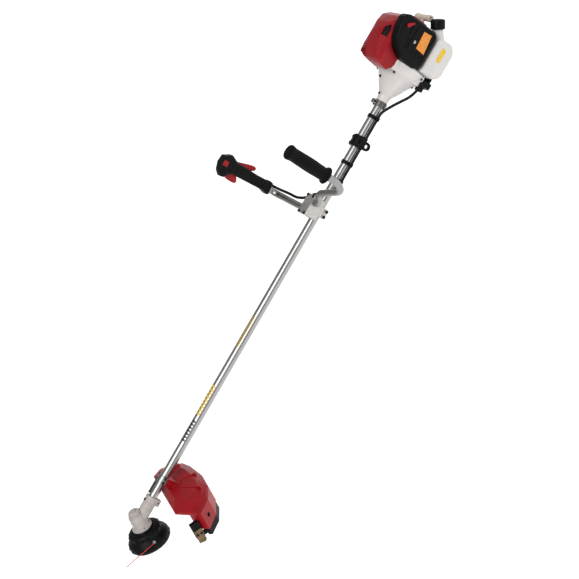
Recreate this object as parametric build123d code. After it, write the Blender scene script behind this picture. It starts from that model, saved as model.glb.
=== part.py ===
from build123d import *
import math
import os

# Petrol string trimmer with a line head, a bike-type handlebar and a rear engine. Millimetres.
# X runs along the shaft, with the cutting head at low X and the engine at high X.
# +Y is the operator's right and +Z is up when the tool hangs level from its harness eye.
# The origin is the centre of the harness eye. Every piece is drawn about the shaft axis,
# and save() lifts it by EYE_DROP, the height of that axis above the eye.

# Overall layout
EYE_DROP = 33.0
HEAD_REACH = 1366.0      # harness eye to spindle axis, along the shaft
ENGINE_REACH = 136.0     # harness eye to engine collar
HANDLE_REACH = 249.0     # harness eye to handlebar bracket
HANDLE_SPREAD = 200.0    # shaft axis to each grip, sideways
HANDLE_RISE = 300.0      # shaft axis to the top of the left grip

# Fits
FIT = 0.05               # running clearance on a radius
GAP = 0.3                # clear gap between pieces that move past each other
WALL = 2.5               # moulded wall

# Shaft
SHAFT_R = 14.0
SHAFT_WALL = 2.0
ROD_R = 4.0
BUSH_LENGTH = 24.0
BUSH_PLACES = (0.08, 0.36, 0.64, 0.92)

# Gearhead, drawn about the crossing of the spindle and shaft axes
SPINDLE_LEAN = 30.0      # spindle tilt from square to the shaft
SLEEVE_R = 20.0
SLEEVE_REACH = 87.0
TUBE_FRONT = 52.0
BARREL_R = 25.0
BARREL_LOW = -23.5
BARREL_TOP = 36.0
FLANGE_R = 33.0
CHAMBER_R = 18.2
LOWER_BEARING_R = 17.5
LOWER_BEARING = (-22.5, -11.5)
UPPER_BEARING_R = 14.0
UPPER_BEARING = (28.0, 36.0)
SPINDLE_R = 7.5
SPINDLE_TIP_R = 6.0
THREAD_R = 5.0
PINION_SHAFT_R = 6.0
PINION_BEARING = (32.0, 46.0)
SOCKET_START = 48.0
SOCKET_END = 66.0
PINION_TEETH = 14
GEAR_TEETH = 19
CONE_INNER = 18.0
CONE_OUTER = 29.0
TOOTH_HEIGHT = 1.6
LOCK_HOLE_R = 2.5
LOCK_HOLE_PITCH = 28.5

# Cutting head, drawn on the spindle axis, with heights above the crossing
HEAD_TOP = -29.2
BELL_R = 54.0
HEAD_R = 70.0
HEAD_JOINT = -70.0
HEAD_BOTTOM = -88.0
KNOB_R = 21.0
KNOB_BOTTOM = -95.0
SPOOL_R = 50.0
SPOOL_TOP = -52.0
SPOOL_BOTTOM = -76.0
HUB_R = 9.0
HUB_BOTTOM = -42.0
SPRING_R = 14.0
SPRING_WIRE_R = 1.0
EYELET_R = 5.0
EYELET_BORE = 2.0
EYELET_LEVEL = -55.0
EYELET_MIDDLE = 61.5
LINE_R = 1.2

# Guard, on the spindle axis: outline of (rearward, sideways) corners
GUARD_BACK = 150.0
GUARD_TOP = 50.0
GUARD_SHOULDER = 28.0
GUARD_TAPER = 0.62
GUARD_CENTRE = (165.0, -30.0)
GUARD_OUTLINE = [
    (124, 130), (157, 147), (184, 133), (222, 97), (232, 54), (237, -37),
    (226, -110), (196, -172), (150, -215), (131, -190), (93, -125), (110, 20),
]
SKIRT_BOTTOM = -60.0
BLADE_Y = -204.0
BLADE_THICK = 2.0
BRACKET_HALF = 12.0
STRAP = 3.0
GUARD_SCREW_R = 2.5

# Handlebar
BAR_R = 11.0
BAR_WALL = 1.5
BAR_SPACING = 14.0       # each bar from the middle of the bracket, along the shaft
BAR_HEIGHT = 36.0
BLOCK_X = 34.0
BLOCK_Y = 24.0
BLOCK_FOOT_X = 16.0
PINCH_DROP = 18.0        # shaft axis to the pinch bolts under the shaft
GRIP_R = 22.0
GRIP_LENGTH = 152.0
LEFT_GRIP_X = 87.0
RIGHT_GRIP_X = -12.0
THROTTLE_BAR_TOP = 192.0
SHELL_HALF = 19.0
PIN_R = 2.5
TRIGGER_PIN = (-26.0, 252.0)   # from the right grip, in the side view
LOCKOUT_PIN = (14.0, 236.0)

# Cable
CABLE_R = 4.6
CABLE_Y = -18.0
CABLE_Z = -9.0
CLIP_PLACES = (-138.0, -76.0, 89.0)

# Harness clamp
CLAMP_HALF = 19.0
CLAMP_WALL = 6.0
EYE_R = 6.5
EYE_RING_R = 14.0
EYE_HALF = 4.0

# Engine, drawn from its front collar along the shaft
TUBE_IN_ENGINE = 35.0
NOSE = 8.0
HOUSING_BACK = 133.0
HOUSING_R = 82.0
BEARING_R = 16.0
CRANK_R = 6.0
DRUM_R = 36.0
DRUM = (64.0, 84.0)
FLYWHEEL_R = 54.0
CRANKCASE_R = 34.0
WEB_R = 26.0
CRANK_THROW = 14.0
CYLINDER_X = 164.0
BORE_R = 17.0
CYLINDER_BASE = 34.0
CYLINDER_TOP = 94.0
COVER_LEFT = -60.0
FILTER_LEFT = -97.0
LOUVRES = 11
LOUVRE_PITCH = 8.0
LOUVRE_WIDTH = 3.5
RECOIL_R = 48.0
RECOIL = (192.0, 262.0)
TANK_WALL = 2.5
TANK_HALF = 95.0
TANK_FRONT = 138.5
TANK_BACK = 262.0
TANK_TOP = -50.0
TANK_BOTTOM = -90.0
FOOT_BOTTOM = -97.0
NECK_TOP = (297.0, -62.0, 1.0)
NECK_LENGTH = 60.0
NECK_R = 17.0
CAP_LEAN = 35.0
CAP_R = 22.5
TEE_R = 11.5
TEE_Y = (-36.0, 50.0)
TEE_X = 302.0
TEE_Z = 15.0


def save(name, shape):
    """Lift a piece from the shaft axis to the part frame and write it."""
    pieces = shape if isinstance(shape, list) else [shape]
    solids = [Pos(0, 0, EYE_DROP) * solid for piece in pieces for solid in piece.solids()]
    export_step(solids[0] if len(solids) == 1 else Compound(children=solids), f"parts/{name}.step")


def box(x, y, z):
    """A block between (low, high) on each axis."""
    middle = [(side[0] + side[1]) / 2 for side in (x, y, z)]
    return Pos(*middle) * Box(x[1] - x[0], y[1] - y[0], z[1] - z[0])


def rod(radius, start, end, along="x", at=(0, 0)):
    """A cylinder along one axis, centred at the two other coordinates."""
    upright = Pos(0, 0, (start + end) / 2) * Cylinder(radius, end - start)
    if along == "x":
        return Pos(0, at[0], at[1]) * Rot(0, 90, 0) * upright
    if along == "y":
        return Pos(at[0], 0, at[1]) * Rot(-90, 0, 0) * upright
    return Pos(at[0], at[1], 0) * upright


def ring(outer, inner, start, end, along="x", at=(0, 0)):
    return rod(outer, start, end, along, at) - rod(inner, start - 1, end + 1, along, at)


def flat(points):
    """A face that looks up, from (x, y) corners in either order."""
    double_area = sum(x0 * y1 - x1 * y0 for (x0, y0), (x1, y1) in zip(points, points[1:] + points[:1]))
    ordered = points if double_area > 0 else points[::-1]
    return Face(Wire.make_polygon([(x, y, 0) for x, y in ordered], close=True))


def prism(points, low, high):
    """Corners in plan, drawn up from low to high."""
    return extrude(Pos(0, 0, low) * flat(points), high - low)


def slab(points, left, right):
    """Corners in the side view (x, z), drawn across from left to right."""
    return Rot(90, 0, 0) * prism(points, -right, -left)


def turned(points, axis="z"):
    """Corners of (radius, height) turned about Z, or of (x, radius) turned about X."""
    if axis == "x":
        return revolve(flat(points), Axis.X)
    return revolve(Rot(90, 0, 0) * flat(points), Axis.Z)


def inset(points, amount):
    """Move every edge of a clockwise outline inward."""
    edges = []
    for (x0, y0), (x1, y1) in zip(points, points[1:] + points[:1]):
        length = math.hypot(x1 - x0, y1 - y0)
        normal = ((y1 - y0) / length, -(x1 - x0) / length)
        edges.append((normal, normal[0] * x0 + normal[1] * y0 + amount))
    corners = []
    for ((a, b), c), ((d, e), f) in zip(edges[-1:] + edges[:-1], edges):
        cross = a * e - b * d
        corners.append(((c * e - b * f) / cross, (a * f - c * d) / cross))
    return corners


def swept(points, radii, radius):
    """A round bar along straight runs joined by tangent arcs."""
    line = FilletPolyline(*points, radius=radii)
    return sweep(Plane(line @ 0, z_dir=line % 0) * Circle(radius), line)


def screw(at, direction, radius, length, head=2.0, head_height=3.0):
    """A cap screw whose head sits on a point and whose shank goes in along a direction."""
    seat = Plane(at, z_dir=direction)
    shank = Pos(0, 0, length / 2) * Cylinder(radius, length)
    cap = Pos(0, 0, -head_height / 2) * Cylinder(radius * head, head_height)
    socket = Pos(0, 0, -head_height + 1) * Cylinder(radius * 0.8, 2.2)
    return seat * (shank + cap - socket)


def hole(at, direction, radius, length):
    return Plane(at, z_dir=direction) * Pos(0, 0, length / 2) * Cylinder(radius, length)


def softened(shape, radius, axis=None):
    """Round the edges along one axis, or every edge."""
    edges = shape.edges() if axis is None else shape.edges().filter_by(axis)
    return fillet(edges, radius)


TILT = Rot(0, SPINDLE_LEAN, 0)
AT_HEAD = Pos(-HEAD_REACH, 0, 0)
AT_HANDLE = Pos(-HANDLE_REACH, 0, 0)
AT_ENGINE = Pos(ENGINE_REACH, 0, 0)

os.makedirs("parts", exist_ok=True)


# ---- gearhead
def bevel(pitch_angle, teeth, turn=0.0):
    """A bevel gear blank with straight teeth, its cone's point at the origin, opening along +Z."""
    slope = math.radians(pitch_angle)

    def corner(distance, lift):
        radius = distance * math.sin(slope) + lift * math.cos(slope)
        return (radius, distance * math.cos(slope) - lift * math.sin(slope))

    low = -TOOTH_HEIGHT
    core = turned([(0, corner(CONE_INNER, low)[1]), corner(CONE_INNER, low), corner(CONE_OUTER, low),
                   (0, corner(CONE_OUTER, low)[1])])
    tip = -GAP / 2
    tooth_side = [corner(CONE_INNER, low - 1), corner(CONE_INNER, tip), corner(CONE_OUTER, tip),
                  corner(CONE_OUTER, low - 1)]
    width = math.pi * CONE_INNER * math.sin(slope) / teeth * 0.7
    tooth = Pos(0, width / 2, 0) * extrude(Rot(90, 0, 0) * flat(tooth_side), width)
    gear = core
    for number in range(teeth):
        gear += Rot(0, 0, turn + number * 360 / teeth) * tooth
    return gear


PINION_ANGLE = math.degrees(math.atan2(math.sin(math.radians(90 - SPINDLE_LEAN)),
                            GEAR_TEETH / PINION_TEETH + math.cos(math.radians(90 - SPINDLE_LEAN))))
GEAR_ANGLE = 90 - SPINDLE_LEAN - PINION_ANGLE
TO_SHAFT = Rot(0, 90, 0)

chamber = TILT * (rod(CHAMBER_R, LOWER_BEARING[1], UPPER_BEARING[0] - 1, "z")
                  + rod(LOWER_BEARING_R, BARREL_LOW - 1, LOWER_BEARING[1], "z")
                  + rod(UPPER_BEARING_R, UPPER_BEARING[0] - 1, BARREL_TOP + 1, "z"))
barrel = turned([(0, BARREL_LOW), (FLANGE_R, BARREL_LOW), (FLANGE_R, BARREL_LOW + 5),
                (BARREL_R + 1, BARREL_LOW + 8), (BARREL_R, 22), (19, 29), (18, BARREL_TOP),
                (0, BARREL_TOP)])
clamp_lug = box((SLEEVE_REACH - 22, SLEEVE_REACH), (-9, 9), (-SLEEVE_R - 10, -SLEEVE_R + 3))
sleeve = rod(SLEEVE_R, 0, SLEEVE_REACH) + rod(SLEEVE_R + 1.5, SLEEVE_REACH - 8, SLEEVE_REACH)
sleeve += clamp_lug
sleeve_bolt = ((SLEEVE_REACH - 11, 9, -SLEEVE_R - 5), (0, -1, 0))
locating_screw = ((SLEEVE_REACH - 16, 0, SLEEVE_R), (0, 0, -1))
gearhead = TILT * barrel + sleeve - chamber - rod(SHAFT_R, 6, SLEEVE_REACH + 1)
gearhead -= box((SLEEVE_REACH - 30, SLEEVE_REACH + 1), (-1, 1), (-SLEEVE_R - 11, -SHAFT_R + 1))
gearhead -= hole(*sleeve_bolt, 2.5, 30) + hole(*locating_screw, 2.0, 8)
gearhead -= TILT * rod(LOCK_HOLE_R, BARREL_LOW - 1, BARREL_LOW + 9, "z", (0, -LOCK_HOLE_PITCH))
save("gearhead_housing", AT_HEAD * gearhead)

cap = turned([(0, BARREL_TOP), (18, BARREL_TOP), (18, BARREL_TOP + 3), (15, BARREL_TOP + 5),
             (8, BARREL_TOP + 5), (8, BARREL_TOP + 8), (0, BARREL_TOP + 8)])
save("gearhead_cap", AT_HEAD * TILT * cap)

spindle = turned([(0, -40), (THREAD_R, -40), (THREAD_R, -24.2), (SPINDLE_R, -24.2), (SPINDLE_R, -9),
                  (SPINDLE_TIP_R, -9), (SPINDLE_TIP_R, BARREL_TOP - 0.5), (0, BARREL_TOP - 0.5)])
save("output_spindle", AT_HEAD * TILT * spindle)
gear = bevel(GEAR_ANGLE, GEAR_TEETH) + rod(9, 20, UPPER_BEARING[0] - GAP, "z") - rod(SPINDLE_TIP_R, 0,
                                                                                     40, "z")
save("output_gear", AT_HEAD * TILT * gear)
pinion = bevel(PINION_ANGLE, PINION_TEETH) + rod(PINION_SHAFT_R, 20, SOCKET_END, "z")
pinion -= rod(ROD_R, SOCKET_START, SOCKET_END + 1, "z")
save("input_pinion", AT_HEAD * TO_SHAFT * pinion)
flange = turned([(THREAD_R, HEAD_TOP), (31, HEAD_TOP), (32, HEAD_TOP + 1), (32, -25), (31, -24.2),
                (THREAD_R, -24.2)])
save("arbor_flange", AT_HEAD * TILT * flange)


# ---- cutting head
bell = turned([(THREAD_R, HEAD_TOP), (40, HEAD_TOP), (50, -32), (BELL_R, -36), (BELL_R + 1, -48),
              (62, -56), (68, -63), (HEAD_R, HEAD_JOINT), (HEAD_R - WALL, HEAD_JOINT), (65.5, -64),
              (60, -58.5), (52, -50), (51.5, -38), (49, -35.5), (39, -32.5), (HUB_R, -32.5),
              (HUB_R, HUB_BOTTOM), (THREAD_R, HUB_BOTTOM)])
bell -= rod(EYELET_R, -HEAD_R, HEAD_R, "y", (0, EYELET_LEVEL))
save("head_housing", AT_HEAD * TILT * bell)
lower = turned([(KNOB_R + 2, HEAD_BOTTOM), (60, HEAD_BOTTOM), (66, -86), (HEAD_R, -80),
               (HEAD_R, HEAD_JOINT), (HEAD_R - WALL, HEAD_JOINT), (HEAD_R - WALL, -79), (64.5, -84),
               (59, -85.5), (KNOB_R + 2, -85.5)])
save("head_cover", AT_HEAD * TILT * lower)
eyelets = [ring(EYELET_R, EYELET_BORE, side * EYELET_MIDDLE - 5, side * EYELET_MIDDLE + 5, "y",
           (0, EYELET_LEVEL)) for side in (-1, 1)]
save("line_eyelets", [AT_HEAD * TILT * eyelet for eyelet in eyelets])
spool = turned([(12, SPOOL_TOP), (SPOOL_R, SPOOL_TOP), (SPOOL_R, SPOOL_TOP - 2), (24, SPOOL_TOP - 2),
               (24, SPOOL_BOTTOM + 2), (SPOOL_R, SPOOL_BOTTOM + 2), (SPOOL_R, SPOOL_BOTTOM),
               (12, SPOOL_BOTTOM)])
save("line_spool", AT_HEAD * TILT * spool)
knob = turned([(0, SPOOL_BOTTOM), (18, SPOOL_BOTTOM), (KNOB_R, -78), (KNOB_R, -90), (17, KNOB_BOTTOM),
               (0, KNOB_BOTTOM)]) + rod(12, SPOOL_BOTTOM, -66, "z")
save("bump_knob", AT_HEAD * TILT * knob)
spring_line = Pos(0, 0, SPOOL_TOP + SPRING_WIRE_R + GAP) * Helix(2.6, 10.4, SPRING_R)
spring = sweep(Plane(spring_line @ 0, z_dir=spring_line % 0) * Circle(SPRING_WIRE_R), spring_line,
               is_frenet=True)
save("spool_spring", AT_HEAD * TILT * spring)
LINE_POINTS = [(0, -58, EYELET_LEVEL), (0, -68.5, EYELET_LEVEL), (-14, -74, -55), (-46, -79, -55.5),
               (-80, -86, -55), (-113, -93, -55)]
LINE_RADII = [5.5, 30, 160, 600]
save("trimmer_line", AT_HEAD * TILT * swept(LINE_POINTS, LINE_RADII, LINE_R))


# ---- guard
def tapered(points, shoulder, top, scale, lower):
    """A straight wall up to a shoulder, then facets rising to a smaller flat top."""
    small = [(GUARD_CENTRE[0] + (x - GUARD_CENTRE[0]) * scale, GUARD_CENTRE[1]
             + (y - GUARD_CENTRE[1]) * scale) for x, y in points]
    roof = loft([Pos(0, 0, shoulder) * flat(points), Pos(0, 0, top) * flat(small)], ruled=True)
    return prism(points, lower, shoulder) + roof


LIP = inset(GUARD_OUTLINE, WALL)
GUARD_SCREWS = [((GUARD_BACK + side * 8, across, STRAP + 1), (0, 0, -1)) for side in (-1,
                1) for across in (-24, 24)]
guard = tapered(GUARD_OUTLINE, GUARD_SHOULDER, GUARD_TOP, GUARD_TAPER, -45)
guard -= tapered(LIP, GUARD_SHOULDER - WALL, GUARD_TOP - WALL, GUARD_TAPER, -46)
guard -= prism([(60, -200), (118, -210), (130, -185), (99, -124), (116, 20), (130, 134), (60, 134)],
               -50, 20)
guard -= extrude(Plane.YZ * flat([(-260, -40), (180, -4), (180, -120), (-260, -120)]), 320)
guard_in_shaft = TILT * guard
for place in GUARD_SCREWS:
    guard_in_shaft -= hole(*place, GUARD_SCREW_R, 48)
save("debris_guard", AT_HEAD * guard_in_shaft)

BAND = inset(GUARD_OUTLINE, WALL * 2)
skirt = prism(LIP, SKIRT_BOTTOM, -12) - prism(BAND, SKIRT_BOTTOM - 1, 0)
skirt = skirt & box((142, 300), (-300, -45), (-100, 0))
holder = box((104, 132), (-202, -186), (SKIRT_BOTTOM + 8, 2)) - prism(GUARD_OUTLINE, -100, 10)
holder += box((104, 152), (-202, -190), (SKIRT_BOTTOM + 8, SKIRT_BOTTOM + 20))
blade_screws = [((along, BLADE_Y, -38), (0, 1, 0)) for along in (111, 124)]
skirt += holder
for place in blade_screws:
    skirt -= hole(*place, 2.0, 12)
save("guard_skirt", AT_HEAD * TILT * skirt)
blade = slab([(105, -22), (130, -22), (130, -64), (124, -71), (104, -66)], BLADE_Y, BLADE_Y + BLADE_THICK)
for place in blade_screws:
    blade -= hole(*place, 2.0, 12)
save("line_cutter", AT_HEAD * TILT * blade)

saddle = box((GUARD_BACK - BRACKET_HALF, GUARD_BACK + BRACKET_HALF), (-30, 30), (-45, 0))
saddle -= rod(SHAFT_R, 0, 300) + TILT * box((0, 300), (-60, 60), (-100, GUARD_TOP))
strap = rod(SHAFT_R + STRAP, GUARD_BACK - BRACKET_HALF, GUARD_BACK + BRACKET_HALF)
strap += box((GUARD_BACK - BRACKET_HALF, GUARD_BACK + BRACKET_HALF), (-30, 30), (0, STRAP + 1))
strap = strap - rod(SHAFT_R, 0, 300) - box((0, 300), (-60, 60), (-60, 0))
plate = box((SLEEVE_REACH + 4, GUARD_BACK - BRACKET_HALF + 1), (SHAFT_R + 0.2, SHAFT_R + 3), (1, 15))
strap += plate
for place in GUARD_SCREWS:
    saddle -= hole(*place, GUARD_SCREW_R, 48)
    strap -= hole(*place, GUARD_SCREW_R, 48)
save("guard_bracket", [AT_HEAD * saddle, AT_HEAD * strap])

front_screws = [AT_HEAD * screw(*place, GUARD_SCREW_R, 40) for place in GUARD_SCREWS]
front_screws += [AT_HEAD * TILT * screw(*place, 2.0, 10, head_height=2) for place in blade_screws]
front_screws += [AT_HEAD * screw(*sleeve_bolt, 2.5, 18), AT_HEAD * screw(*locating_screw, 2.0, 6)]
save("front_screws", front_screws)


# ---- shaft
tube_start = TUBE_FRONT - HEAD_REACH
tube_end = ENGINE_REACH + TUBE_IN_ENGINE
save("shaft_tube", ring(SHAFT_R, SHAFT_R - SHAFT_WALL, tube_start, tube_end))
drum_socket = (38.0, 56.0)
save("drive_rod", rod(ROD_R, SOCKET_START - HEAD_REACH + 1, ENGINE_REACH + drum_socket[1] - 1))
bushes = []
for share in BUSH_PLACES:
    middle = tube_start + share * (tube_end - tube_start)
    bushes.append(ring(SHAFT_R - SHAFT_WALL, ROD_R + FIT, middle - BUSH_LENGTH / 2, middle
                  + BUSH_LENGTH / 2))
save("shaft_bushes", bushes)
bearings = [AT_HEAD * TILT * ring(LOWER_BEARING_R, SPINDLE_R + FIT, *LOWER_BEARING, "z"),
            AT_HEAD * TILT * ring(UPPER_BEARING_R, SPINDLE_TIP_R + FIT, *UPPER_BEARING, "z"),
            AT_HEAD * ring(SHAFT_R, PINION_SHAFT_R + FIT, *PINION_BEARING),
            AT_ENGINE * ring(BEARING_R, CRANK_R + FIT, 38, 50),
            AT_ENGINE * ring(BEARING_R, CRANK_R + FIT, 138, 146),
            AT_ENGINE * ring(BEARING_R, CRANK_R + FIT, 182, 190)]
save("ball_bearings", bearings)

clips = []
for place in CLIP_PLACES:
    clip = rod(SHAFT_R + 2.5, place - 6, place + 6) + rod(CABLE_R + 2.5, place - 6, place + 6, "x",
                                                          (CABLE_Y, CABLE_Z))
    clip -= rod(SHAFT_R, place - 7, place + 7) + rod(CABLE_R, place - 7, place + 7, "x", (CABLE_Y, CABLE_Z))
    clips.append(clip)
save("cable_clips", clips)

cable_groove = rod(CABLE_R + GAP, -60, 60, "x", (CABLE_Y, CABLE_Z))
HARNESS_BOLTS = [((side * 11, across, 9), (0, 0, -1)) for side in (-1, 1) for across in (-26.5, 26.5)]
clamp = rod(SHAFT_R + CLAMP_WALL, -CLAMP_HALF, CLAMP_HALF) + box((-CLAMP_HALF, CLAMP_HALF), (-32, 32),
                                                                 (-9, 9))
clamp -= rod(SHAFT_R, -60, 60) + cable_groove
for place in HARNESS_BOLTS:
    clamp -= hole(*place, 2.5, 22)
clamp_upper = clamp - box((-60, 60), (-60, 60), (-60, 0.5))
clamp_lower = clamp - box((-60, 60), (-60, 60), (-0.5, 60))
eye = rod(EYE_RING_R, -EYE_HALF, EYE_HALF, "y", (0, -EYE_DROP)) + box((-EYE_RING_R, EYE_RING_R),
                                                                      (-EYE_HALF, EYE_HALF),
                                                                      (-EYE_DROP, -SHAFT_R - 1))
clamp_lower = clamp_lower + eye - rod(EYE_R, -10, 10, "y", (0, -EYE_DROP)) - rod(SHAFT_R, -60, 60)
save("harness_clamp_upper", clamp_upper)
save("harness_clamp_lower", clamp_lower)


# ---- handlebar
LEFT_POINTS = [(BAR_SPACING, BLOCK_Y - 8, BAR_HEIGHT), (BAR_SPACING, -48, BAR_HEIGHT), (42, -62, 64),
               (75, -HANDLE_SPREAD + 10, 66), (LEFT_GRIP_X, -HANDLE_SPREAD, 110),
               (LEFT_GRIP_X, -HANDLE_SPREAD, HANDLE_RISE - 4)]
LEFT_RADII = [28, 30, 42, 46]
RIGHT_POINTS = [(-BAR_SPACING, 8 - BLOCK_Y, BAR_HEIGHT), (-BAR_SPACING, 60, BAR_HEIGHT),
                (-12, HANDLE_SPREAD - 50, 46), (RIGHT_GRIP_X, HANDLE_SPREAD, 60),
                (RIGHT_GRIP_X, HANDLE_SPREAD, THROTTLE_BAR_TOP)]
RIGHT_RADII = [300, 80, 32]


def handlebar(points, radii):
    return swept(points, radii, BAR_R) - swept(points, radii, BAR_R - BAR_WALL)


bores = rod(BAR_R, 8 - BLOCK_Y, BLOCK_Y + 5, "y", (-BAR_SPACING, BAR_HEIGHT))
bores += rod(BAR_R, -BLOCK_Y - 5, BLOCK_Y - 8, "y", (BAR_SPACING, BAR_HEIGHT))
CAP_TOP = BAR_HEIGHT + BAR_R + 3
CAP_BOLTS = [((across * (BLOCK_X - 5), side * (BLOCK_Y - 6), CAP_TOP), (0, 0, -1)) for across in (-1, 1)
             for side in (-1, 1)]
PINCH_BOLTS = [((side * 9, -BLOCK_Y + 6, -PINCH_DROP), (0, 1, 0)) for side in (-1, 1)]
block = softened(box((-BLOCK_X, BLOCK_X), (-BLOCK_Y, BLOCK_Y), (6, BAR_HEIGHT)), 7, Axis.Z)
block += rod(SHAFT_R + 6, -BLOCK_FOOT_X, BLOCK_FOOT_X)
block += box((-BLOCK_FOOT_X, BLOCK_FOOT_X), (-BLOCK_Y + 6, BLOCK_Y - 6), (-PINCH_DROP - 5, -10))
block -= rod(SHAFT_R, -60, 60) + bores + box((-60, 60), (-1.5, 1.5), (-40, -SHAFT_R + 1))
lid = softened(box((-BLOCK_X, BLOCK_X), (-BLOCK_Y, BLOCK_Y), (BAR_HEIGHT, CAP_TOP)), 7, Axis.Z) - bores
for place in CAP_BOLTS:
    lid -= hole(*place, 2.5, 40)
    block -= hole(*place, 2.5, 36)
for place in PINCH_BOLTS:
    block -= hole(*place, 2.5, 40)
save("handle_bracket", AT_HANDLE * block)
save("handle_cap", AT_HANDLE * lid)
save("left_handle_tube", AT_HANDLE * handlebar(LEFT_POINTS, LEFT_RADII))
save("right_handle_tube", AT_HANDLE * handlebar(RIGHT_POINTS, RIGHT_RADII))

grip_low = HANDLE_RISE - GRIP_LENGTH
grip = turned([(BAR_R, grip_low), (GRIP_R + 5, grip_low), (GRIP_R + 5, grip_low + 5),
              (GRIP_R - 2, grip_low + 10), (GRIP_R, grip_low + 60), (GRIP_R - 1.5, HANDLE_RISE - 20),
              (GRIP_R + 1.5, HANDLE_RISE - 6), (GRIP_R - 1, HANDLE_RISE), (0, HANDLE_RISE),
              (0, HANDLE_RISE - 4), (BAR_R, HANDLE_RISE - 4)])
save("left_grip", AT_HANDLE * Pos(LEFT_GRIP_X, -HANDLE_SPREAD, 0) * grip)

# The throttle handle is drawn about the right bar, with x and z in the side view.
SHELL_SIDE = [(22, 88), (25, 100), (21, 112), (19, 150), (19, 232), (31, 260), (17, 284), (-8, 286),
              (-33, 277), (-46, 262), (-43, 251), (-30, 244), (-21, 232), (-19, 190), (-14, 112),
              (-19, 92), (-16, 84), (0, 86)]
TO_THROTTLE = Pos(RIGHT_GRIP_X, HANDLE_SPREAD, 0)
TRIGGER_HALF = 5.0
LEVER_HALF = 4.0
outer_shell = slab(SHELL_SIDE, -SHELL_HALF, SHELL_HALF)
outer_shell = fillet([edge for edge in outer_shell.faces().sort_by(Axis.Y)[0].edges()]
                     + [edge for edge in outer_shell.faces().sort_by(Axis.Y)[-1].edges()], 4.5)
hollow = slab([(16, 195), (16, 233), (27, 260), (15, 280), (-8, 282), (-31, 274), (-42, 261),
              (-39, 255), (-28, 248), (-17, 233), (-16, 195)], -SHELL_HALF + WALL, SHELL_HALF - WALL)
trigger_slot = slab([(-12, 196), (-12, 244), (-30, 262), (-46, 258), (-46, 180), (-16, 190)],
                    -TRIGGER_HALF - GAP, TRIGGER_HALF + GAP)
lever_slot = slab([(12, 160), (12, 244), (24, 244), (40, 150), (30, 150)], -LEVER_HALF - GAP,
                  LEVER_HALF + GAP)
switch_slot = box((-12, 6), (-SHELL_HALF - 1, -SHELL_HALF + 4), (262, 280))
shell = outer_shell - hollow - trigger_slot - lever_slot - rod(BAR_R, 60, THROTTLE_BAR_TOP, "z")
shell -= switch_slot + rod(CABLE_R, 60, 97, "z", (16, -1))
pegs = rod(PIN_R, -SHELL_HALF + 1, SHELL_HALF - 1, "y", TRIGGER_PIN) + rod(PIN_R, -SHELL_HALF + 1,
                                                                           SHELL_HALF - 1, "y",
                                                                           LOCKOUT_PIN)
shell += pegs
left_half = shell & box((-100, 100), (-60, 0), (0, 400))
right_half = shell & box((-100, 100), (0, 60), (0, 400))
save("throttle_shell_left", AT_HANDLE * TO_THROTTLE * left_half)
save("throttle_shell_right", AT_HANDLE * TO_THROTTLE * right_half)

trigger = slab([(-22, 256), (-32, 258), (-42, 238), (-44, 222), (-42, 203), (-34, 200), (-15, 212),
               (-15, 240)], -TRIGGER_HALF, TRIGGER_HALF)
trigger += rod(6, -TRIGGER_HALF, TRIGGER_HALF, "y", TRIGGER_PIN)
trigger -= rod(PIN_R + FIT, -20, 20, "y", TRIGGER_PIN)
save("throttle_trigger", AT_HANDLE * TO_THROTTLE * trigger)
lever = slab([(12, 228), (13, 238), (19, 240), (29, 206), (37, 178), (38, 168), (34, 162), (27, 162),
             (20, 172), (16, 200)], -LEVER_HALF, LEVER_HALF)
lever += rod(4.5, -LEVER_HALF, LEVER_HALF, "y", LOCKOUT_PIN)
lever -= rod(PIN_R + FIT, -20, 20, "y", LOCKOUT_PIN)
save("lockout_lever", AT_HANDLE * TO_THROTTLE * lever)
rocker = box((-12 + GAP, 6 - GAP), (-SHELL_HALF - 1.5, -SHELL_HALF + 2.5), (262 + GAP, 280 - GAP))
save("stop_switch", AT_HANDLE * TO_THROTTLE * rocker)


# ---- throttle cable, from the throttle handle to the grommet under the engine
HB = -HANDLE_REACH
CABLE_POINTS = [(HB + 4, 199, 97), (HB + 4, 199, 72), (HB + 6, 178, 51), (HB + 8, 142, 42),
                (HB + 6, 100, 38), (HB + 15, 56, 34), (HB + 41, 24, 27), (HB + 49, -4, 23),
                (HB + 60, -19, 12), (HB + 76, -22, 0), (HB + 94, CABLE_Y, CABLE_Z),
                (ENGINE_REACH - 24, CABLE_Y, CABLE_Z), (ENGINE_REACH - 2, -27, -17),
                (ENGINE_REACH + 30, -41, -32), (ENGINE_REACH + 62, -56, -49),
                (ENGINE_REACH + 97, -62.6, -56.6)]


def arc_radii(points):
    """The largest tangent arcs that leave a tenth of each run straight."""
    radii = []
    for before, corner, after in zip(points, points[1:], points[2:]):
        arriving = Vector(*corner) - Vector(*before)
        leaving = Vector(*after) - Vector(*corner)
        turn = math.radians(arriving.get_angle(leaving))
        radii.append(0.45 * min(arriving.length, leaving.length) / math.tan(turn / 2))
    return radii


cable = swept(CABLE_POINTS, arc_radii(CABLE_POINTS), CABLE_R)
save("throttle_cable", cable)
cable_tube = Pos(-ENGINE_REACH, 0, 0) * cable


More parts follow.
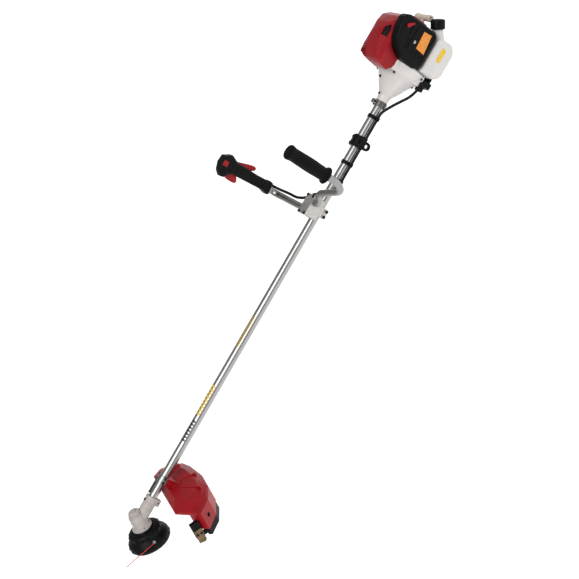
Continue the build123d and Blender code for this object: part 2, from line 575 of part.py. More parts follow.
# ---- engine: housing, clutch and crank
HOUSING_SIDE = [(NOSE, 19), (30, 21), (50, 34), (90, 58), (104, 72), (HOUSING_BACK, HOUSING_R)]
housing_outer = turned([(NOSE, 0)] + HOUSING_SIDE + [(HOUSING_BACK, 0)], "x")
shoulders = softened(box((100, HOUSING_BACK), (-66, 66), (-62, 64)), 18, Axis.X)
housing_outer += shoulders
housing = housing_outer - turned([(NOSE - 1, 0), (NOSE - 1, SHAFT_R), (36, SHAFT_R), (36, BEARING_R),
                                 (56, BEARING_R), (56, 33), (92, 55), (107, 69), (HOUSING_BACK + 1, 79),
                                 (HOUSING_BACK + 1, 0)], "x")
SCREW_PLACES = [(97, 66, -50), (92, 61, -140), (125, 80, -125), (73, 49, 0), (28, 21.5, 0), (97, 66, 50),
                (125, 80, 125)]
HOUSING_SCREWS = []
for along, radius, turn in SCREW_PLACES:
    across = math.sin(math.radians(turn))
    upward = math.cos(math.radians(turn))
    HOUSING_SCREWS.append(((along, radius * across, radius * upward), (0, -across, -upward)))
for place in HOUSING_SCREWS:
    housing -= hole(*place, 2.0, 6)
    seat_back = tuple(Vector(*place[0]) - Vector(*place[1]) * 6)
    housing -= hole(seat_back, place[1], 4.0, 6)
save("clutch_housing", AT_ENGINE * housing)

COLLAR_R = 20.5
collar = rod(COLLAR_R, NOSE - 20, NOSE) + box((NOSE - 17, NOSE - 3), (-8, 8), (SHAFT_R + 1, 30))
collar -= rod(SHAFT_R, -40, 40) + box((-60, 60), (-1.5, 1.5), (SHAFT_R - 1, 40))
collar_bolt = ((NOSE - 10, -8, 25), (0, 1, 0))
collar -= hole(*collar_bolt, 2.0, 20)
save("tube_collar", AT_ENGINE * collar)

cap_screws = [AT_HANDLE * screw(*place, 2.5, 30) for place in CAP_BOLTS]
cap_screws += [AT_HANDLE * screw(*place, 2.5, 34) for place in PINCH_BOLTS]
cap_screws += [screw(*place, 2.5, 17.5) for place in HARNESS_BOLTS]
cap_screws += [AT_ENGINE * screw(*place, 2.0, 5) for place in HOUSING_SCREWS]
cap_screws += [AT_ENGINE * screw(*collar_bolt, 2.0, 15)]
save("cap_screws", cap_screws)

drum = ring(DRUM_R, DRUM_R - 3, *DRUM) + rod(DRUM_R, DRUM[0], DRUM[0] + 3) + rod(CRANK_R, 37, DRUM[0])
drum -= rod(ROD_R, 36, drum_socket[1])
save("clutch_drum", AT_ENGINE * drum)
shoe_ring = ring(DRUM_R - 3.6, 10, DRUM[0] + 5, DRUM[1] - 2)
shoe_ring -= box((0, 200), (-60, 60), (-1.5, 1.5))
shoes = [AT_ENGINE * solid for solid in shoe_ring.solids()]
shoes.append(AT_ENGINE * ring(10, CRANK_R, DRUM[0] + 5, DRUM[1] - 2))
save("clutch_shoes", shoes)

fan = rod(FLYWHEEL_R, 98, 110) + rod(12, 88, 118)
for number in range(12):
    fan += Rot(number * 30, 0, 0) * box((90, 98.5), (-1.2, 1.2), (18, 50))
for number in range(3):
    fan -= Rot(number * 120 + 15, 0, 0) * rod(8, 80, 120, "x", (0, 36))
fan -= rod(CRANK_R, 60, 140)
save("flywheel", AT_ENGINE * fan)

CASE = (137.0, 192.0)
webs = (CYLINDER_X - 14, CYLINDER_X - 6, CYLINDER_X + 6, CYLINDER_X + 14)
case = rod(HOUSING_R - 0.5, HOUSING_BACK, CASE[0]) + rod(CRANKCASE_R, *CASE)
case += box((CYLINDER_X - 25, CYLINDER_X + 25), (-25, 25), (15, CYLINDER_BASE))
case -= rod(WEB_R + 2, webs[0] - 2.5, webs[3] + 2.5) + rod(CRANK_R + 2, 120, 200)
case -= rod(BEARING_R, 138, 146) + rod(BEARING_R, 182, 190)
case -= rod(BEARING_R - 3, 130, 140) + rod(BORE_R, 0, CYLINDER_BASE + 1, "z", (CYLINDER_X, 0))
for turn in (30, 90, 150, 210, 270, 330):
    case -= Rot(turn, 0, 0) * rod(14, 130, CASE[0] + 0.5, "x", (0, 60))
save("crankcase", AT_ENGINE * case)
crank = rod(CRANK_R, DRUM[0] + 5, webs[0] + 1) + rod(WEB_R, webs[0], webs[1]) + rod(WEB_R, webs[2], webs[3])
crank += rod(CRANK_R, webs[1] - 1, webs[2] + 1, "x", (0, CRANK_THROW)) + rod(CRANK_R, webs[3] - 1, 216)
crank += rod(18, 206, 209) + ring(18, 15, 208, 216)
save("crankshaft", AT_ENGINE * crank)

barrel_block = rod(BORE_R + 5, CYLINDER_BASE, CYLINDER_TOP, "z", (CYLINDER_X, 0))
barrel_block += box((CYLINDER_X - 25, CYLINDER_X + 25), (-25, 25), (CYLINDER_BASE, CYLINDER_BASE + 4))
for number in range(8):
    level = CYLINDER_BASE + 12 + number * 6.5
    barrel_block += softened(box((139, 191), (-34, 34), (level, level + 2)), 8, Axis.Z)
crown_room = CYLINDER_TOP - 9.5
barrel_block -= rod(BORE_R, CYLINDER_BASE - 1, crown_room, "z", (CYLINDER_X, 0))
barrel_block -= rod(5, 80, 100, "z", (CYLINDER_X, 0))
save("cylinder", AT_ENGINE * barrel_block)
piston = rod(BORE_R - FIT, 41, 69, "z", (CYLINDER_X, 0)) - rod(BORE_R - 3, 40, 63, "z", (CYLINDER_X, 0))
piston -= rod(4, CYLINDER_X - 20, CYLINDER_X + 20, "x", (0, 52))
pin = rod(4, CYLINDER_X - 16, CYLINDER_X + 16, "x", (0, 52))
save("piston", [AT_ENGINE * piston, AT_ENGINE * pin])
plug = rod(5, crown_room + 1, CYLINDER_TOP, "z") + rod(7.5, CYLINDER_TOP, CYLINDER_TOP + 9, "z")
plug += rod(4.5, CYLINDER_TOP + 8, CYLINDER_TOP + 20, "z") + rod(8, CYLINDER_TOP + 18, CYLINDER_TOP
                                                                 + 40, "z")
save("spark_plug", AT_ENGINE * Pos(CYLINDER_X, 0, 0) * plug)


# ---- engine: covers
COVER_SIDE = [(88, 76), (90, 100), (97, 113), (113, 129), (130, 137), (189, 146), (250, 116), (272, 84),
              (272, 30), (141, 30), (139, 46), (104, 64)]
COVER_FRONT = [(COVER_LEFT, 0), (COVER_LEFT, 120), (COVER_LEFT + 22, 144), (20, 146), (62, 120),
               (92, 92), (92, 0)]


COVER_PLAN = [(88, COVER_LEFT), (88, 0), (100, 34), (120, 66), (142, 92), (272, 92), (272, COVER_LEFT)]


def cover_solid(shrink):
    side = slab(inset(COVER_SIDE, shrink) if shrink else COVER_SIDE, -200, 200)
    front = inset(COVER_FRONT, shrink) if shrink else COVER_FRONT
    plan = inset(COVER_PLAN, shrink) if shrink else COVER_PLAN
    return side & (Rot(0, 0, 90) * Rot(90, 0, 0) * prism(front, 0, 400)) & prism(plan, 0, 200)


cover = cover_solid(0) - cover_solid(WALL)
cover -= prism(inset(COVER_PLAN, WALL), 0, 66)
cover -= rod(10, COVER_LEFT - 5, COVER_LEFT + 8, "y", (CYLINDER_X, 64))
cover -= turned([(80, 0), (80, 54), (90, 58.5), (104, 72.5), (HOUSING_BACK + 5, HOUSING_R + 0.5),
                (HOUSING_BACK + 5, 0)], "x")
cover -= softened(box((90, HOUSING_BACK + 5), (-66.5, 66.5), (-70, 64.5)), 18, Axis.X)
cover -= rod(RECOIL_R + 1, 180, 300)
cover -= box((150, 200), (80, 100), (36, 92))
cover -= slab([(171, 127), (172, 140), (198, 141), (214, 132), (196, 126)], -70, -36)
louvre_field = prism(inset(COVER_PLAN, 8), 98, 150)
for number in range(LOUVRES):
    slot_start = 106 + number * LOUVRE_PITCH
    cover -= louvre_field & box((slot_start, slot_start + LOUVRE_WIDTH), (26, 86), (98, 150))
save("engine_cover", AT_ENGINE * cover)

muffler = softened(box((146, 204), (40, 86), (38, 90)), 6, Axis.Y) - box((149, 201), (43, 83), (41, 87))
muffler += box((CYLINDER_X - 14, CYLINDER_X + 14), (34, 40), (54, 82))
muffler -= rod(8, 30, 42, "y", (CYLINDER_X, 68))
muffler -= rod(5, 80, 90, "y", (192, 50))
save("muffler", AT_ENGINE * muffler)
carburettor = box((150, 180), (-54, -38), (46, 82)) + box((CYLINDER_X - 10, CYLINDER_X + 10),
                                                          (-39, -34), (54, 74))
carburettor += rod(10, COVER_LEFT, -53, "y", (CYLINDER_X, 64))
carburettor -= rod(7, -62, -30, "y", (CYLINDER_X, 64))
save("carburettor", AT_ENGINE * carburettor)

FILTER_SIDE = [(131, 14), (133, 58), (154, 99), (178, 119), (214, 129), (246, 131), (263, 112),
               (262, 6), (250, -6), (150, -6)]
filter_cover = slab(FILTER_SIDE, FILTER_LEFT, COVER_LEFT)
filter_cover -= slab(inset(FILTER_SIDE, WALL), FILTER_LEFT + WALL, COVER_LEFT + 1)
choke_pin = (233.0, 103.0)
filter_cover -= housing_outer + rod(HOUSING_R, HOUSING_BACK - 1, CASE[0])
filter_cover -= rod(3 + FIT, FILTER_LEFT - 1, FILTER_LEFT + 20, "y", choke_pin)
save("air_filter_cover", AT_ENGINE * filter_cover)
save("air_filter", AT_ENGINE * softened(box((158, 225), (FILTER_LEFT + 8, COVER_LEFT), (20, 88)), 10,
     Axis.Y))
choke = rod(3, FILTER_LEFT - 4, FILTER_LEFT + 8, "y", choke_pin)
choke += slab([(224.5, 103), (233, 111.5), (247.5, 92), (244, 88.5)], FILTER_LEFT - 5, FILTER_LEFT - GAP)
save("choke_lever", AT_ENGINE * choke)

# ---- engine: starter
recoil = rod(RECOIL_R, *RECOIL) - rod(RECOIL_R - 3, RECOIL[0] - 1, RECOIL[1] - 5)
recoil += rod(5, 222, RECOIL[1] - 2) + rod(9, RECOIL[1] - 4, TEE_X - 17, "x", (0, TEE_Z))
recoil -= rod(4, 222, 300, "x", (0, TEE_Z + 1))
save("recoil_housing", AT_ENGINE * recoil)
pulley = rod(36, 224, 242) - ring(60, 32, 228, 238) - rod(5 + FIT, 200, 300)
save("starter_pulley", AT_ENGINE * pulley)
tee = rod(TEE_R, *TEE_Y, "y", (TEE_X, TEE_Z)) + rod(6, TEE_X - 17 + GAP, TEE_X, "x", (4, TEE_Z))
save("starter_handle", AT_ENGINE * tee)

# ---- engine: fuel tank
TANK_SIDE = [(TANK_FRONT, -14), (250, -14), (TANK_BACK, -30), (TANK_BACK, -68), (236, TANK_BOTTOM),
             (160, TANK_BOTTOM), (TANK_FRONT, -62)]
trough = box((100, 300), (-RECOIL_R - 2, RECOIL_R + 2), (TANK_TOP, 20))
wide_trough = box((100, 300), (-RECOIL_R - 2 - TANK_WALL, RECOIL_R + 2 + TANK_WALL),
                  (TANK_TOP - TANK_WALL, 20))
neck_out = (math.cos(math.radians(CAP_LEAN)), 0, math.sin(math.radians(CAP_LEAN)))
NECK = Plane(origin=NECK_TOP, z_dir=neck_out).location
tank = slab(TANK_SIDE, -TANK_HALF, TANK_HALF) - trough
tank = softened(tank, 6, Axis.Y)
tank += NECK * rod(NECK_R, -NECK_LENGTH, 0, "z")
tank -= slab(inset(TANK_SIDE, TANK_WALL), -TANK_HALF + TANK_WALL, TANK_HALF - TANK_WALL) - wide_trough
tank -= NECK * rod(NECK_R - 4, 2 - NECK_LENGTH, 1, "z")
tank -= rod(HOUSING_R + 1, 100, CASE[0] + 1)
save("fuel_tank", AT_ENGINE * tank)
save("fuel_cap_seal", AT_ENGINE * NECK * ring(NECK_R - 0.5, NECK_R - 5, GAP, GAP + 1.5, "z"))
fuel_cap = rod(CAP_R, -18, 12, "z") - rod(NECK_R + GAP, -19, 1.8 + GAP, "z")
for number in range(12):
    fuel_cap -= Rot(0, 0, number * 30) * rod(2.5, -20, 10, "z", (CAP_R + 0.8, 0))
save("fuel_cap", AT_ENGINE * NECK * fuel_cap)

# ---- engine: foot and cable grommet
foot = softened(box((112, 131), (-58, 58), (FOOT_BOTTOM, -60)), 8, Axis.X) - housing_outer
foot = foot.solids().sort_by(Axis.Z)[0] + box((112, 240), (-38, 38), (FOOT_BOTTOM, TANK_BOTTOM - 1))
grommet = box((90, 118), (-72, -54), (-67, -48)) - housing_outer
grommet -= cable_tube
save("engine_foot", [AT_ENGINE * foot, AT_ENGINE * grommet])
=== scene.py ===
import math

import bmesh
import bpy
from bpy.props import FloatProperty, FloatVectorProperty, IntProperty, PointerProperty
from mathutils import Matrix, Vector


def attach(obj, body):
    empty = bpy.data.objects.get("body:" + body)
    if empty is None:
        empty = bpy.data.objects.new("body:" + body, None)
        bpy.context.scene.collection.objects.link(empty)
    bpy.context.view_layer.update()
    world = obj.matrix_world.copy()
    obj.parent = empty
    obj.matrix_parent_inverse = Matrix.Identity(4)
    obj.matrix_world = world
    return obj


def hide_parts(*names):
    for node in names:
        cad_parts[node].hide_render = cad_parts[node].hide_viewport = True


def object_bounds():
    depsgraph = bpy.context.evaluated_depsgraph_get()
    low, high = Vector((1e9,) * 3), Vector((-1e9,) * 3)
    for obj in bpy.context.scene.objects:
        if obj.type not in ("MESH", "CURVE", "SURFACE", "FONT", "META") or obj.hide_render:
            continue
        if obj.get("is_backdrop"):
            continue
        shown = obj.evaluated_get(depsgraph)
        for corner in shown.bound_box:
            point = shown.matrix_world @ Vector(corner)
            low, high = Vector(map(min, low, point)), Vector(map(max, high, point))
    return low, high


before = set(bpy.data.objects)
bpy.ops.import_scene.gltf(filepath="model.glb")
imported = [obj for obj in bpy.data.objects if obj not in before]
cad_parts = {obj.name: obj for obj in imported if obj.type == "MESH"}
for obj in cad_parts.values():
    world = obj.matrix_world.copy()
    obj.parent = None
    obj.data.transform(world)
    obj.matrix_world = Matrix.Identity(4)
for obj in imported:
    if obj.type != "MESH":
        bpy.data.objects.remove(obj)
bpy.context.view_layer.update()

bl_info = {
    "name": "String Trimmer",
    "version": (1, 0, 0),
    "blender": (4, 5, 0),
    "location": "View3D > Sidebar > Trimmer",
    "description": "Dresses the packed string trimmer with its moulded, cast and painted pieces",
    "category": "Object",
}

# Lengths below are in millimetres. The origin is the harness eye, and the shaft runs above it.
SHAFT_HEIGHT = 33
SHAFT_RADIUS = 14
WALL = 2.5
SHAFT_AT_HEAD = Matrix.Translation((-1366, 0, SHAFT_HEIGHT))
HEAD = SHAFT_AT_HEAD @ Matrix.Rotation(math.radians(30), 4, "Y")
HANDLE = Matrix.Translation((-249, 0, SHAFT_HEIGHT))
THROTTLE = HANDLE @ Matrix.Translation((-12, 200, 0))
LEFT_GRIP = HANDLE @ Matrix.Translation((87, -200, 0))
ENGINE = Matrix.Translation((136, 0, SHAFT_HEIGHT))
NECK = ENGINE @ Matrix.Translation((297, -62, 1)) @ Matrix.Rotation(math.radians(55), 4, "Y")
SHAFT = Matrix.Translation((0, 0, SHAFT_HEIGHT)) @ Matrix.Rotation(math.radians(90), 4, "Y")
# These turn an outline's plane to the side view (x, z) and to the front view (y, z).
SIDEWAYS = Matrix.Rotation(math.radians(90), 4, "X")
FRONTWAYS = Matrix(((0, 0, 1), (1, 0, 0), (0, 1, 0))).to_4x4()


def linear(code):
    """An sRGB hex colour as linear red, green and blue."""
    parts = [int(code[at:at + 2], 16) / 255 for at in (1, 3, 5)]
    return tuple(part / 12.92 if part <= 0.04045 else ((part + 0.055) / 1.055) ** 2.4 for part in parts)


# ---- sizes and colours that a user may change
class TrimmerSizes(bpy.types.PropertyGroup):
    turns: IntProperty(name="Facets round a turned piece", description="Steps in one full turn",
                       default=72, min=24, max=144)
    louvres: IntProperty(name="Cooling slots", description="Slots along the front of the engine cover",
                         default=16, min=4, max=16)
    line_radius: FloatProperty(name="Line radius", description="Half the thickness of the cutting line",
                               default=0.0012, subtype="DISTANCE", unit="LENGTH")
    floor_drop: FloatProperty(name="Floor drop", description="How far the floor lies below the tool",
                              default=0.6, subtype="DISTANCE", unit="LENGTH")


class TrimmerColours(bpy.types.PropertyGroup):
    red: FloatVectorProperty(name="Moulded red", description="Cover, guard and levers",
                             subtype="COLOR", size=3, default=linear("#980e18"))
    black: FloatVectorProperty(name="Moulded black", description="Grips, filter cover and head",
                               subtype="COLOR", size=3, default=linear("#0a0a0b"))
    white: FloatVectorProperty(name="Housing white", description="Clutch housing",
                               subtype="COLOR", size=3, default=linear("#d8d3d0"))
    tank: FloatVectorProperty(name="Tank white", description="Fuel tank",
                              subtype="COLOR", size=3, default=linear("#d3d0cd"))
    grey: FloatVectorProperty(name="Cast grey", description="Gearhead paint",
                              subtype="COLOR", size=3, default=linear("#b9b1ad"))


def sizes():
    return bpy.context.scene.trimmer_sizes


def colours():
    return bpy.context.scene.trimmer_colours


# ---- materials
def add(tree, kind, inputs=None, **settings):
    """Add one node. Settings are its own, and inputs are its sockets' values or what feeds them."""
    node = tree.nodes.new(kind)
    for key, value in settings.items():
        setattr(node, key, value)
    for socket, value in (inputs or {}).items():
        if isinstance(value, bpy.types.NodeSocket):
            tree.links.new(value, node.inputs[socket])
        else:
            node.inputs[socket].default_value = value
    return node


def start(name, **even):
    """A new material with its shader, object coordinates and the values that are even all over it."""
    made = bpy.data.materials.new(name)
    made.use_nodes = True
    tree = made.node_tree
    tree.nodes.clear()
    shader = add(tree, "ShaderNodeBsdfPrincipled")
    add(tree, "ShaderNodeOutputMaterial", {"Surface": shader.outputs["BSDF"]})
    for socket, value in even.items():
        shader.inputs[socket.replace("_", " ")].default_value = value
    where = add(tree, "ShaderNodeTexCoord").outputs["Object"]
    return made, tree, shader, where


def shift(colour, amount):
    """A colour made lighter or darker by a share."""
    return tuple(min(1, part * (1 + amount)) for part in colour[:3]) + (1,)


def mottle(tree, where, size_mm, low, high, detail=3.0):
    """Noise of one grain size, as a value between low and high."""
    noise = add(tree, "ShaderNodeTexNoise", {"Vector": where, "Scale": 1000 / size_mm, "Detail": detail})
    return add(tree, "ShaderNodeMapRange", {"Value": noise.outputs["Fac"], "From Min": 0.3, "From Max": 0.7,
                                            "To Min": low, "To Max": high}).outputs["Result"]


def two_tone(tree, shader, factor, first, second):
    """Shade the surface from one colour to another by a factor."""
    mix = add(tree, "ShaderNodeMix", {"Factor": factor}, data_type="RGBA")
    mix.inputs["A"].default_value = first
    mix.inputs["B"].default_value = second
    tree.links.new(mix.outputs["Result"], shader.inputs["Base Color"])


def rough(tree, shader, where, size_mm, low, high):
    """Let the roughness wander between two values over one grain size."""
    tree.links.new(mottle(tree, where, size_mm, low, high), shader.inputs["Roughness"])


def relief(tree, shader, height, depth_mm):
    """Raise the surface by a height pattern of a real depth."""
    bump = add(tree, "ShaderNodeBump", {"Height": height, "Distance": depth_mm / 1000, "Strength": 1.0})
    tree.links.new(bump.outputs["Normal"], shader.inputs["Normal"])


def red_abs():
    # Injection-moulded ABS: a deep red satin skin with slight flow mottling and the finest orange peel.
    made, tree, shader, where = start("red_abs_moulded", IOR=1.53, Specular_IOR_Level=0.22,
                                      Coat_Weight=0.04, Coat_Roughness=0.15)
    red = colours().red
    two_tone(tree, shader, mottle(tree, where, 45, 0, 1), shift(red, -0.12), shift(red, 0.1))
    rough(tree, shader, where, 9, 0.34, 0.45)
    relief(tree, shader, mottle(tree, where, 1.6, 0, 1), 0.02)
    return made


def black_nylon(name="black_nylon_moulded", low=0.42, high=0.6, grain_mm=1.4, depth_mm=0.05):
    # Glass-filled nylon: charcoal with a spark-eroded grain, drawn coarser than the real 0.3 mm so it shows.
    made, tree, shader, where = start(name, IOR=1.53, Specular_IOR_Level=0.12)
    black = colours().black
    two_tone(tree, shader, mottle(tree, where, 30, 0, 1), shift(black, -0.25), shift(black, 0.35))
    rough(tree, shader, where, 6, low, high)
    relief(tree, shader, mottle(tree, where, grain_mm, 0, 1), depth_mm)
    return made


def grip_rubber():
    # Moulded synthetic rubber: a soft black that scatters light, with a leathery 2 mm grain.
    made, tree, shader, where = start("black_rubber_grip", IOR=1.5, Specular_IOR_Level=0.12,
                                      Sheen_Weight=0.02, Sheen_Roughness=0.5)
    black = colours().black
    two_tone(tree, shader, mottle(tree, where, 22, 0, 1), shift(black, -0.35), shift(black, 0.1))
    rough(tree, shader, where, 5, 0.62, 0.8)
    cells = add(tree, "ShaderNodeTexVoronoi", {"Vector": where, "Scale": 500.0})
    relief(tree, shader, cells.outputs["Distance"], 0.12)
    return made


def housing_paint():
    # Powder-coated magnesium casting: warm white with a soft gloss and a fine pebble.
    made, tree, shader, where = start("white_powder_coat", IOR=1.5)
    white = colours().white
    two_tone(tree, shader, mottle(tree, where, 60, 0, 1), shift(white, -0.06), shift(white, 0.03))
    rough(tree, shader, where, 12, 0.36, 0.48)
    relief(tree, shader, mottle(tree, where, 1.8, 0, 1), 0.03)
    return made


def tank_plastic():
    # Blow-moulded polyethylene: milky, light passes a little way in, with a waxy skin and faint wall waves.
    made, tree, shader, where = start("milky_polyethylene", IOR=1.52, Subsurface_Weight=0.35,
                                      Subsurface_Scale=0.006)
    shader.inputs["Subsurface Radius"].default_value = (1.0, 0.9, 0.75)
    tank = colours().tank
    two_tone(tree, shader, mottle(tree, where, 70, 0, 1), shift(tank, -0.07), shift(tank, 0.04))
    rough(tree, shader, where, 20, 0.34, 0.46)
    relief(tree, shader, mottle(tree, where, 14, 0, 1), 0.12)
    return made


def cast_paint():
    # Die-cast aluminium under thin warm grey paint: matt, with the mould's fine sandy skin.
    made, tree, shader, where = start("grey_painted_casting", IOR=1.5)
    grey = colours().grey
    two_tone(tree, shader, mottle(tree, where, 25, 0, 1), shift(grey, -0.1), shift(grey, 0.06))
    rough(tree, shader, where, 4, 0.44, 0.6)
    relief(tree, shader, mottle(tree, where, 1.2, 0, 1), 0.05)
    return made


def bare_casting(name="die_cast_aluminium", code="#c4c1bd", grain_mm=1.5):
    # Tumbled die casting: bright but soft, with a pebbled skin and duller hollows.
    made, tree, shader, where = start(name, Metallic=0.7)
    metal = linear(code)
    two_tone(tree, shader, mottle(tree, where, 8, 0, 1), shift(metal, -0.18), shift(metal, 0.05))
    rough(tree, shader, where, 3, 0.3, 0.5)
    relief(tree, shader, mottle(tree, where, grain_mm, 0, 1), 0.06)
    return made


def drawn_tube(name, code, low, high, along):
    # Drawn tube: die lines run its whole length, under a mirror polish or a satin lacquer.
    made, tree, shader, where = start(name, Metallic=1.0)
    metal = linear(code)
    stretched = add(tree, "ShaderNodeMapping", {"Vector": where, "Scale": along}).outputs["Vector"]
    streaks = mottle(tree, stretched, 1.5, 0, 1, 2.0)
    two_tone(tree, shader, streaks, shift(metal, -0.1), shift(metal, 0.04))
    tree.links.new(mottle(tree, stretched, 2.5, low, high, 2.0), shader.inputs["Roughness"])
    relief(tree, shader, streaks, 0.003)
    return made


def turned_steel(name="turned_steel", code="#a5a7aa", low=0.2, high=0.36):
    # Turned and ground steel: cool bright metal with faint tool rings and oil stains.
    made, tree, shader, where = start(name, Metallic=1.0)
    metal = linear(code)
    two_tone(tree, shader, mottle(tree, where, 12, 0, 1), shift(metal, -0.2), shift(metal, 0.08))
    rough(tree, shader, where, 2, low, high)
    relief(tree, shader, mottle(tree, where, 0.8, 0, 1), 0.01)
    return made


def black_steel():
    # Black-oxided screws: dark metal with a thin oily shine and paler rubbed patches.
    made, tree, shader, where = start("black_oxide_steel", Metallic=0.85)
    two_tone(tree, shader, mottle(tree, where, 3, 0, 1), linear("#141415") + (1,), linear("#34353a") + (1,))
    rough(tree, shader, where, 1.5, 0.3, 0.48)
    relief(tree, shader, mottle(tree, where, 0.7, 0, 1), 0.01)
    return made


def passivated_blade():
    # Zinc-plated spring steel, passivated: a brown bronze sheen that drifts in tone.
    made, tree, shader, where = start("yellow_passivated_steel", Metallic=1.0)
    two_tone(tree, shader, mottle(tree, where, 18, 0, 1), linear("#64533c") + (1,), linear("#877359") + (1,))
    rough(tree, shader, where, 3, 0.28, 0.42)
    relief(tree, shader, mottle(tree, where, 1.0, 0, 1), 0.01)
    return made


def red_line():
    # Extruded nylon monofilament: clear red, with light glowing through and faint draw marks.
    made, tree, shader, where = start("red_nylon_line", IOR=1.53, Transmission_Weight=0.2)
    two_tone(tree, shader, mottle(tree, where, 6, 0, 1), linear("#b80f18") + (1,), linear("#e0323a") + (1,))
    rough(tree, shader, where, 2, 0.24, 0.36)
    relief(tree, shader, mottle(tree, where, 0.8, 0, 1), 0.01)
    return made


def beige_pull():
    # Moulded polypropylene: a warm waxy beige, smooth where the hand holds it.
    made, tree, shader, where = start("beige_polypropylene", IOR=1.49, Subsurface_Weight=0.08,
                                      Subsurface_Scale=0.002)
    two_tone(tree, shader, mottle(tree, where, 20, 0, 1), linear("#cbbfae") + (1,), linear("#ded4c6") + (1,))
    rough(tree, shader, where, 5, 0.4, 0.54)
    relief(tree, shader, mottle(tree, where, 1.5, 0, 1), 0.02)
    return made


def printed_film(name, code, scuff="#7a5a1c"):
    # Printed vinyl film: flat even ink under a satin laminate, scuffed in small specks.
    made, tree, shader, where = start(name, IOR=1.5, Coat_Weight=0.3, Coat_Roughness=0.2)
    ink = linear(code)
    specks = mottle(tree, where, 2.2, -1.6, 1.0, 4.0)
    two_tone(tree, shader, specks, ink + (1,), linear(scuff) + (1,))
    rough(tree, shader, where, 4, 0.3, 0.44)
    relief(tree, shader, mottle(tree, where, 1.0, 0, 1), 0.01)
    return made


def filter_foam():
    # Open-cell polyurethane foam, oiled: dark, with painted shade darkening the hollow middle of each 1.5 mm
    # cell.
    made, tree, shader, where = start("oiled_filter_foam", IOR=1.5)
    cells = add(tree, "ShaderNodeTexVoronoi", {"Vector": where, "Scale": 650.0})
    # Painted shade: the cell distance that sinks each pore also paints its middle darker.
    two_tone(tree, shader, cells.outputs["Distance"], linear("#15161a") + (1,), linear("#4a4d55") + (1,))
    rough(tree, shader, where, 3, 0.8, 0.95)
    relief(tree, shader, cells.outputs["Distance"], 0.6)
    return made


def cable_jacket():
    # Extruded PVC jacket over a wound conduit: satin black with a ridge at every 2.5 mm turn.
    made, tree, shader, where = start("black_pvc_jacket", IOR=1.53, Specular_IOR_Level=0.15)
    two_tone(tree, shader, mottle(tree, where, 15, 0, 1), linear("#08080a") + (1,), linear("#161719") + (1,))
    rough(tree, shader, where, 4, 0.34, 0.5)
    ridges = add(tree, "ShaderNodeTexWave", {"Vector": where, "Scale": 64.0, "Distortion": 0.0},
                 wave_type="BANDS", bands_direction="DIAGONAL")
    relief(tree, shader, ridges.outputs["Fac"], 0.25)
    return made


MATERIALS = {}


def material(name):
    """A material by its short name, made once."""
    if name not in MATERIALS:
        MATERIALS[name] = RECIPES[name]()
    return MATERIALS[name]


RECIPES = {
    "red": red_abs,
    "black": black_nylon,
    "head black": lambda: black_nylon("black_nylon_worn", 0.34, 0.55, 2.0, 0.07),
    "rubber": grip_rubber,
    "white": housing_paint,
    "tank": tank_plastic,
    "grey": cast_paint,
    "casting": bare_casting,
    "engine casting": lambda: bare_casting("engine_casting", "#96938f", 2.2),
    "tube": lambda: drawn_tube("polished_drawn_aluminium", "#aaa9a7", 0.26, 0.36, (0.01, 1, 1)),
    # The left bar's tube is a little darker than the polished tube: partly its satin lacquer, partly painted
    # shade.
    "satin bar with painted shade": lambda: drawn_tube("satin_lacquered_tube_painted_shade", "#a09e9c", 0.34, 0.44, (0.08, 0.08, 1)),
    "steel": turned_steel,
    "dark steel": black_steel,
    "plate steel": lambda: turned_steel("zinc_plated_steel", "#8d9490", 0.26, 0.42),
    "blade": passivated_blade,
    "line": red_line,
    "beige": beige_pull,
    "orange film": lambda: printed_film("orange_vinyl_film", "#e58a12"),
    "yellow film": lambda: printed_film("yellow_vinyl_film", "#e8bf1e"),
    "olive film": lambda: printed_film("olive_vinyl_film", "#a8923a", "#5d5322"),
    "black film": lambda: printed_film("black_vinyl_film", "#1a1a1c", "#4a4a4e"),
    "foam": filter_foam,
    "cable": cable_jacket,
}


# ---- making pieces
def prism(bm, corners, low, high, place=Matrix()):
    """An outline in the local (x, y) plane, drawn up from low to high."""
    face = bm.faces.new([bm.verts.new(place @ Vector((x, y, low))) for x, y in corners])
    made = bmesh.ops.extrude_face_region(bm, geom=[face])["geom"]
    verts = [item for item in made if isinstance(item, bmesh.types.BMVert)]
    bmesh.ops.translate(bm, verts=verts, vec=place.to_3x3() @ Vector((0, 0, high - low)))
    return next(item for item in made if isinstance(item, bmesh.types.BMFace))


def slab(bm, corners, left, right):
    """An outline in the side view (x, z), drawn across from left to right."""
    return prism(bm, corners, -right, -left, SIDEWAYS)


def crown(bm, cap, radius, steps=4):
    """Round over the rim of a flat cap by stepping it in and out along a quarter circle."""
    for step in range(steps):
        first, second = (math.pi / 2 * (step + more) / steps for more in (0, 1))
        inward = radius * (math.cos(first) - math.cos(second))
        outward = radius * (math.sin(second) - math.sin(first))
        bmesh.ops.recalc_face_normals(bm, faces=bm.faces)
        bmesh.ops.inset_region(bm, faces=[cap], thickness=inward, depth=outward, use_even_offset=True)


def lathe(bm, profile, place=Matrix(), closed=False):
    """A profile of (radius, height) turned once about the local Z axis."""
    verts = [bm.verts.new(place @ Vector((radius, 0, height))) for radius, height in profile]
    pairs = list(zip(verts, verts[1:])) + ([(verts[-1], verts[0])] if closed else [])
    edges = [bm.edges.new(pair) for pair in pairs]
    bmesh.ops.spin(bm, geom=verts + edges, cent=place.translation, axis=place.to_3x3() @ Vector((0, 0, 1)),
                   angle=2 * math.pi, steps=sizes().turns, use_merge=True)


def rod(bm, radius, low, high, place=Matrix()):
    """A plain round bar along the local Z axis."""
    lathe(bm, [(0, low), (radius, low), (radius, high), (0, high)], place)


def bead(bm, inner, outer, middle, foot, crest, place=Matrix()):
    """A raised ring about the local Z axis, with half its width at its foot and at its crest."""
    lathe(bm, [(inner, middle - foot), (outer, middle - crest), (outer, middle + crest),
               (inner, middle + foot)], place, closed=True)


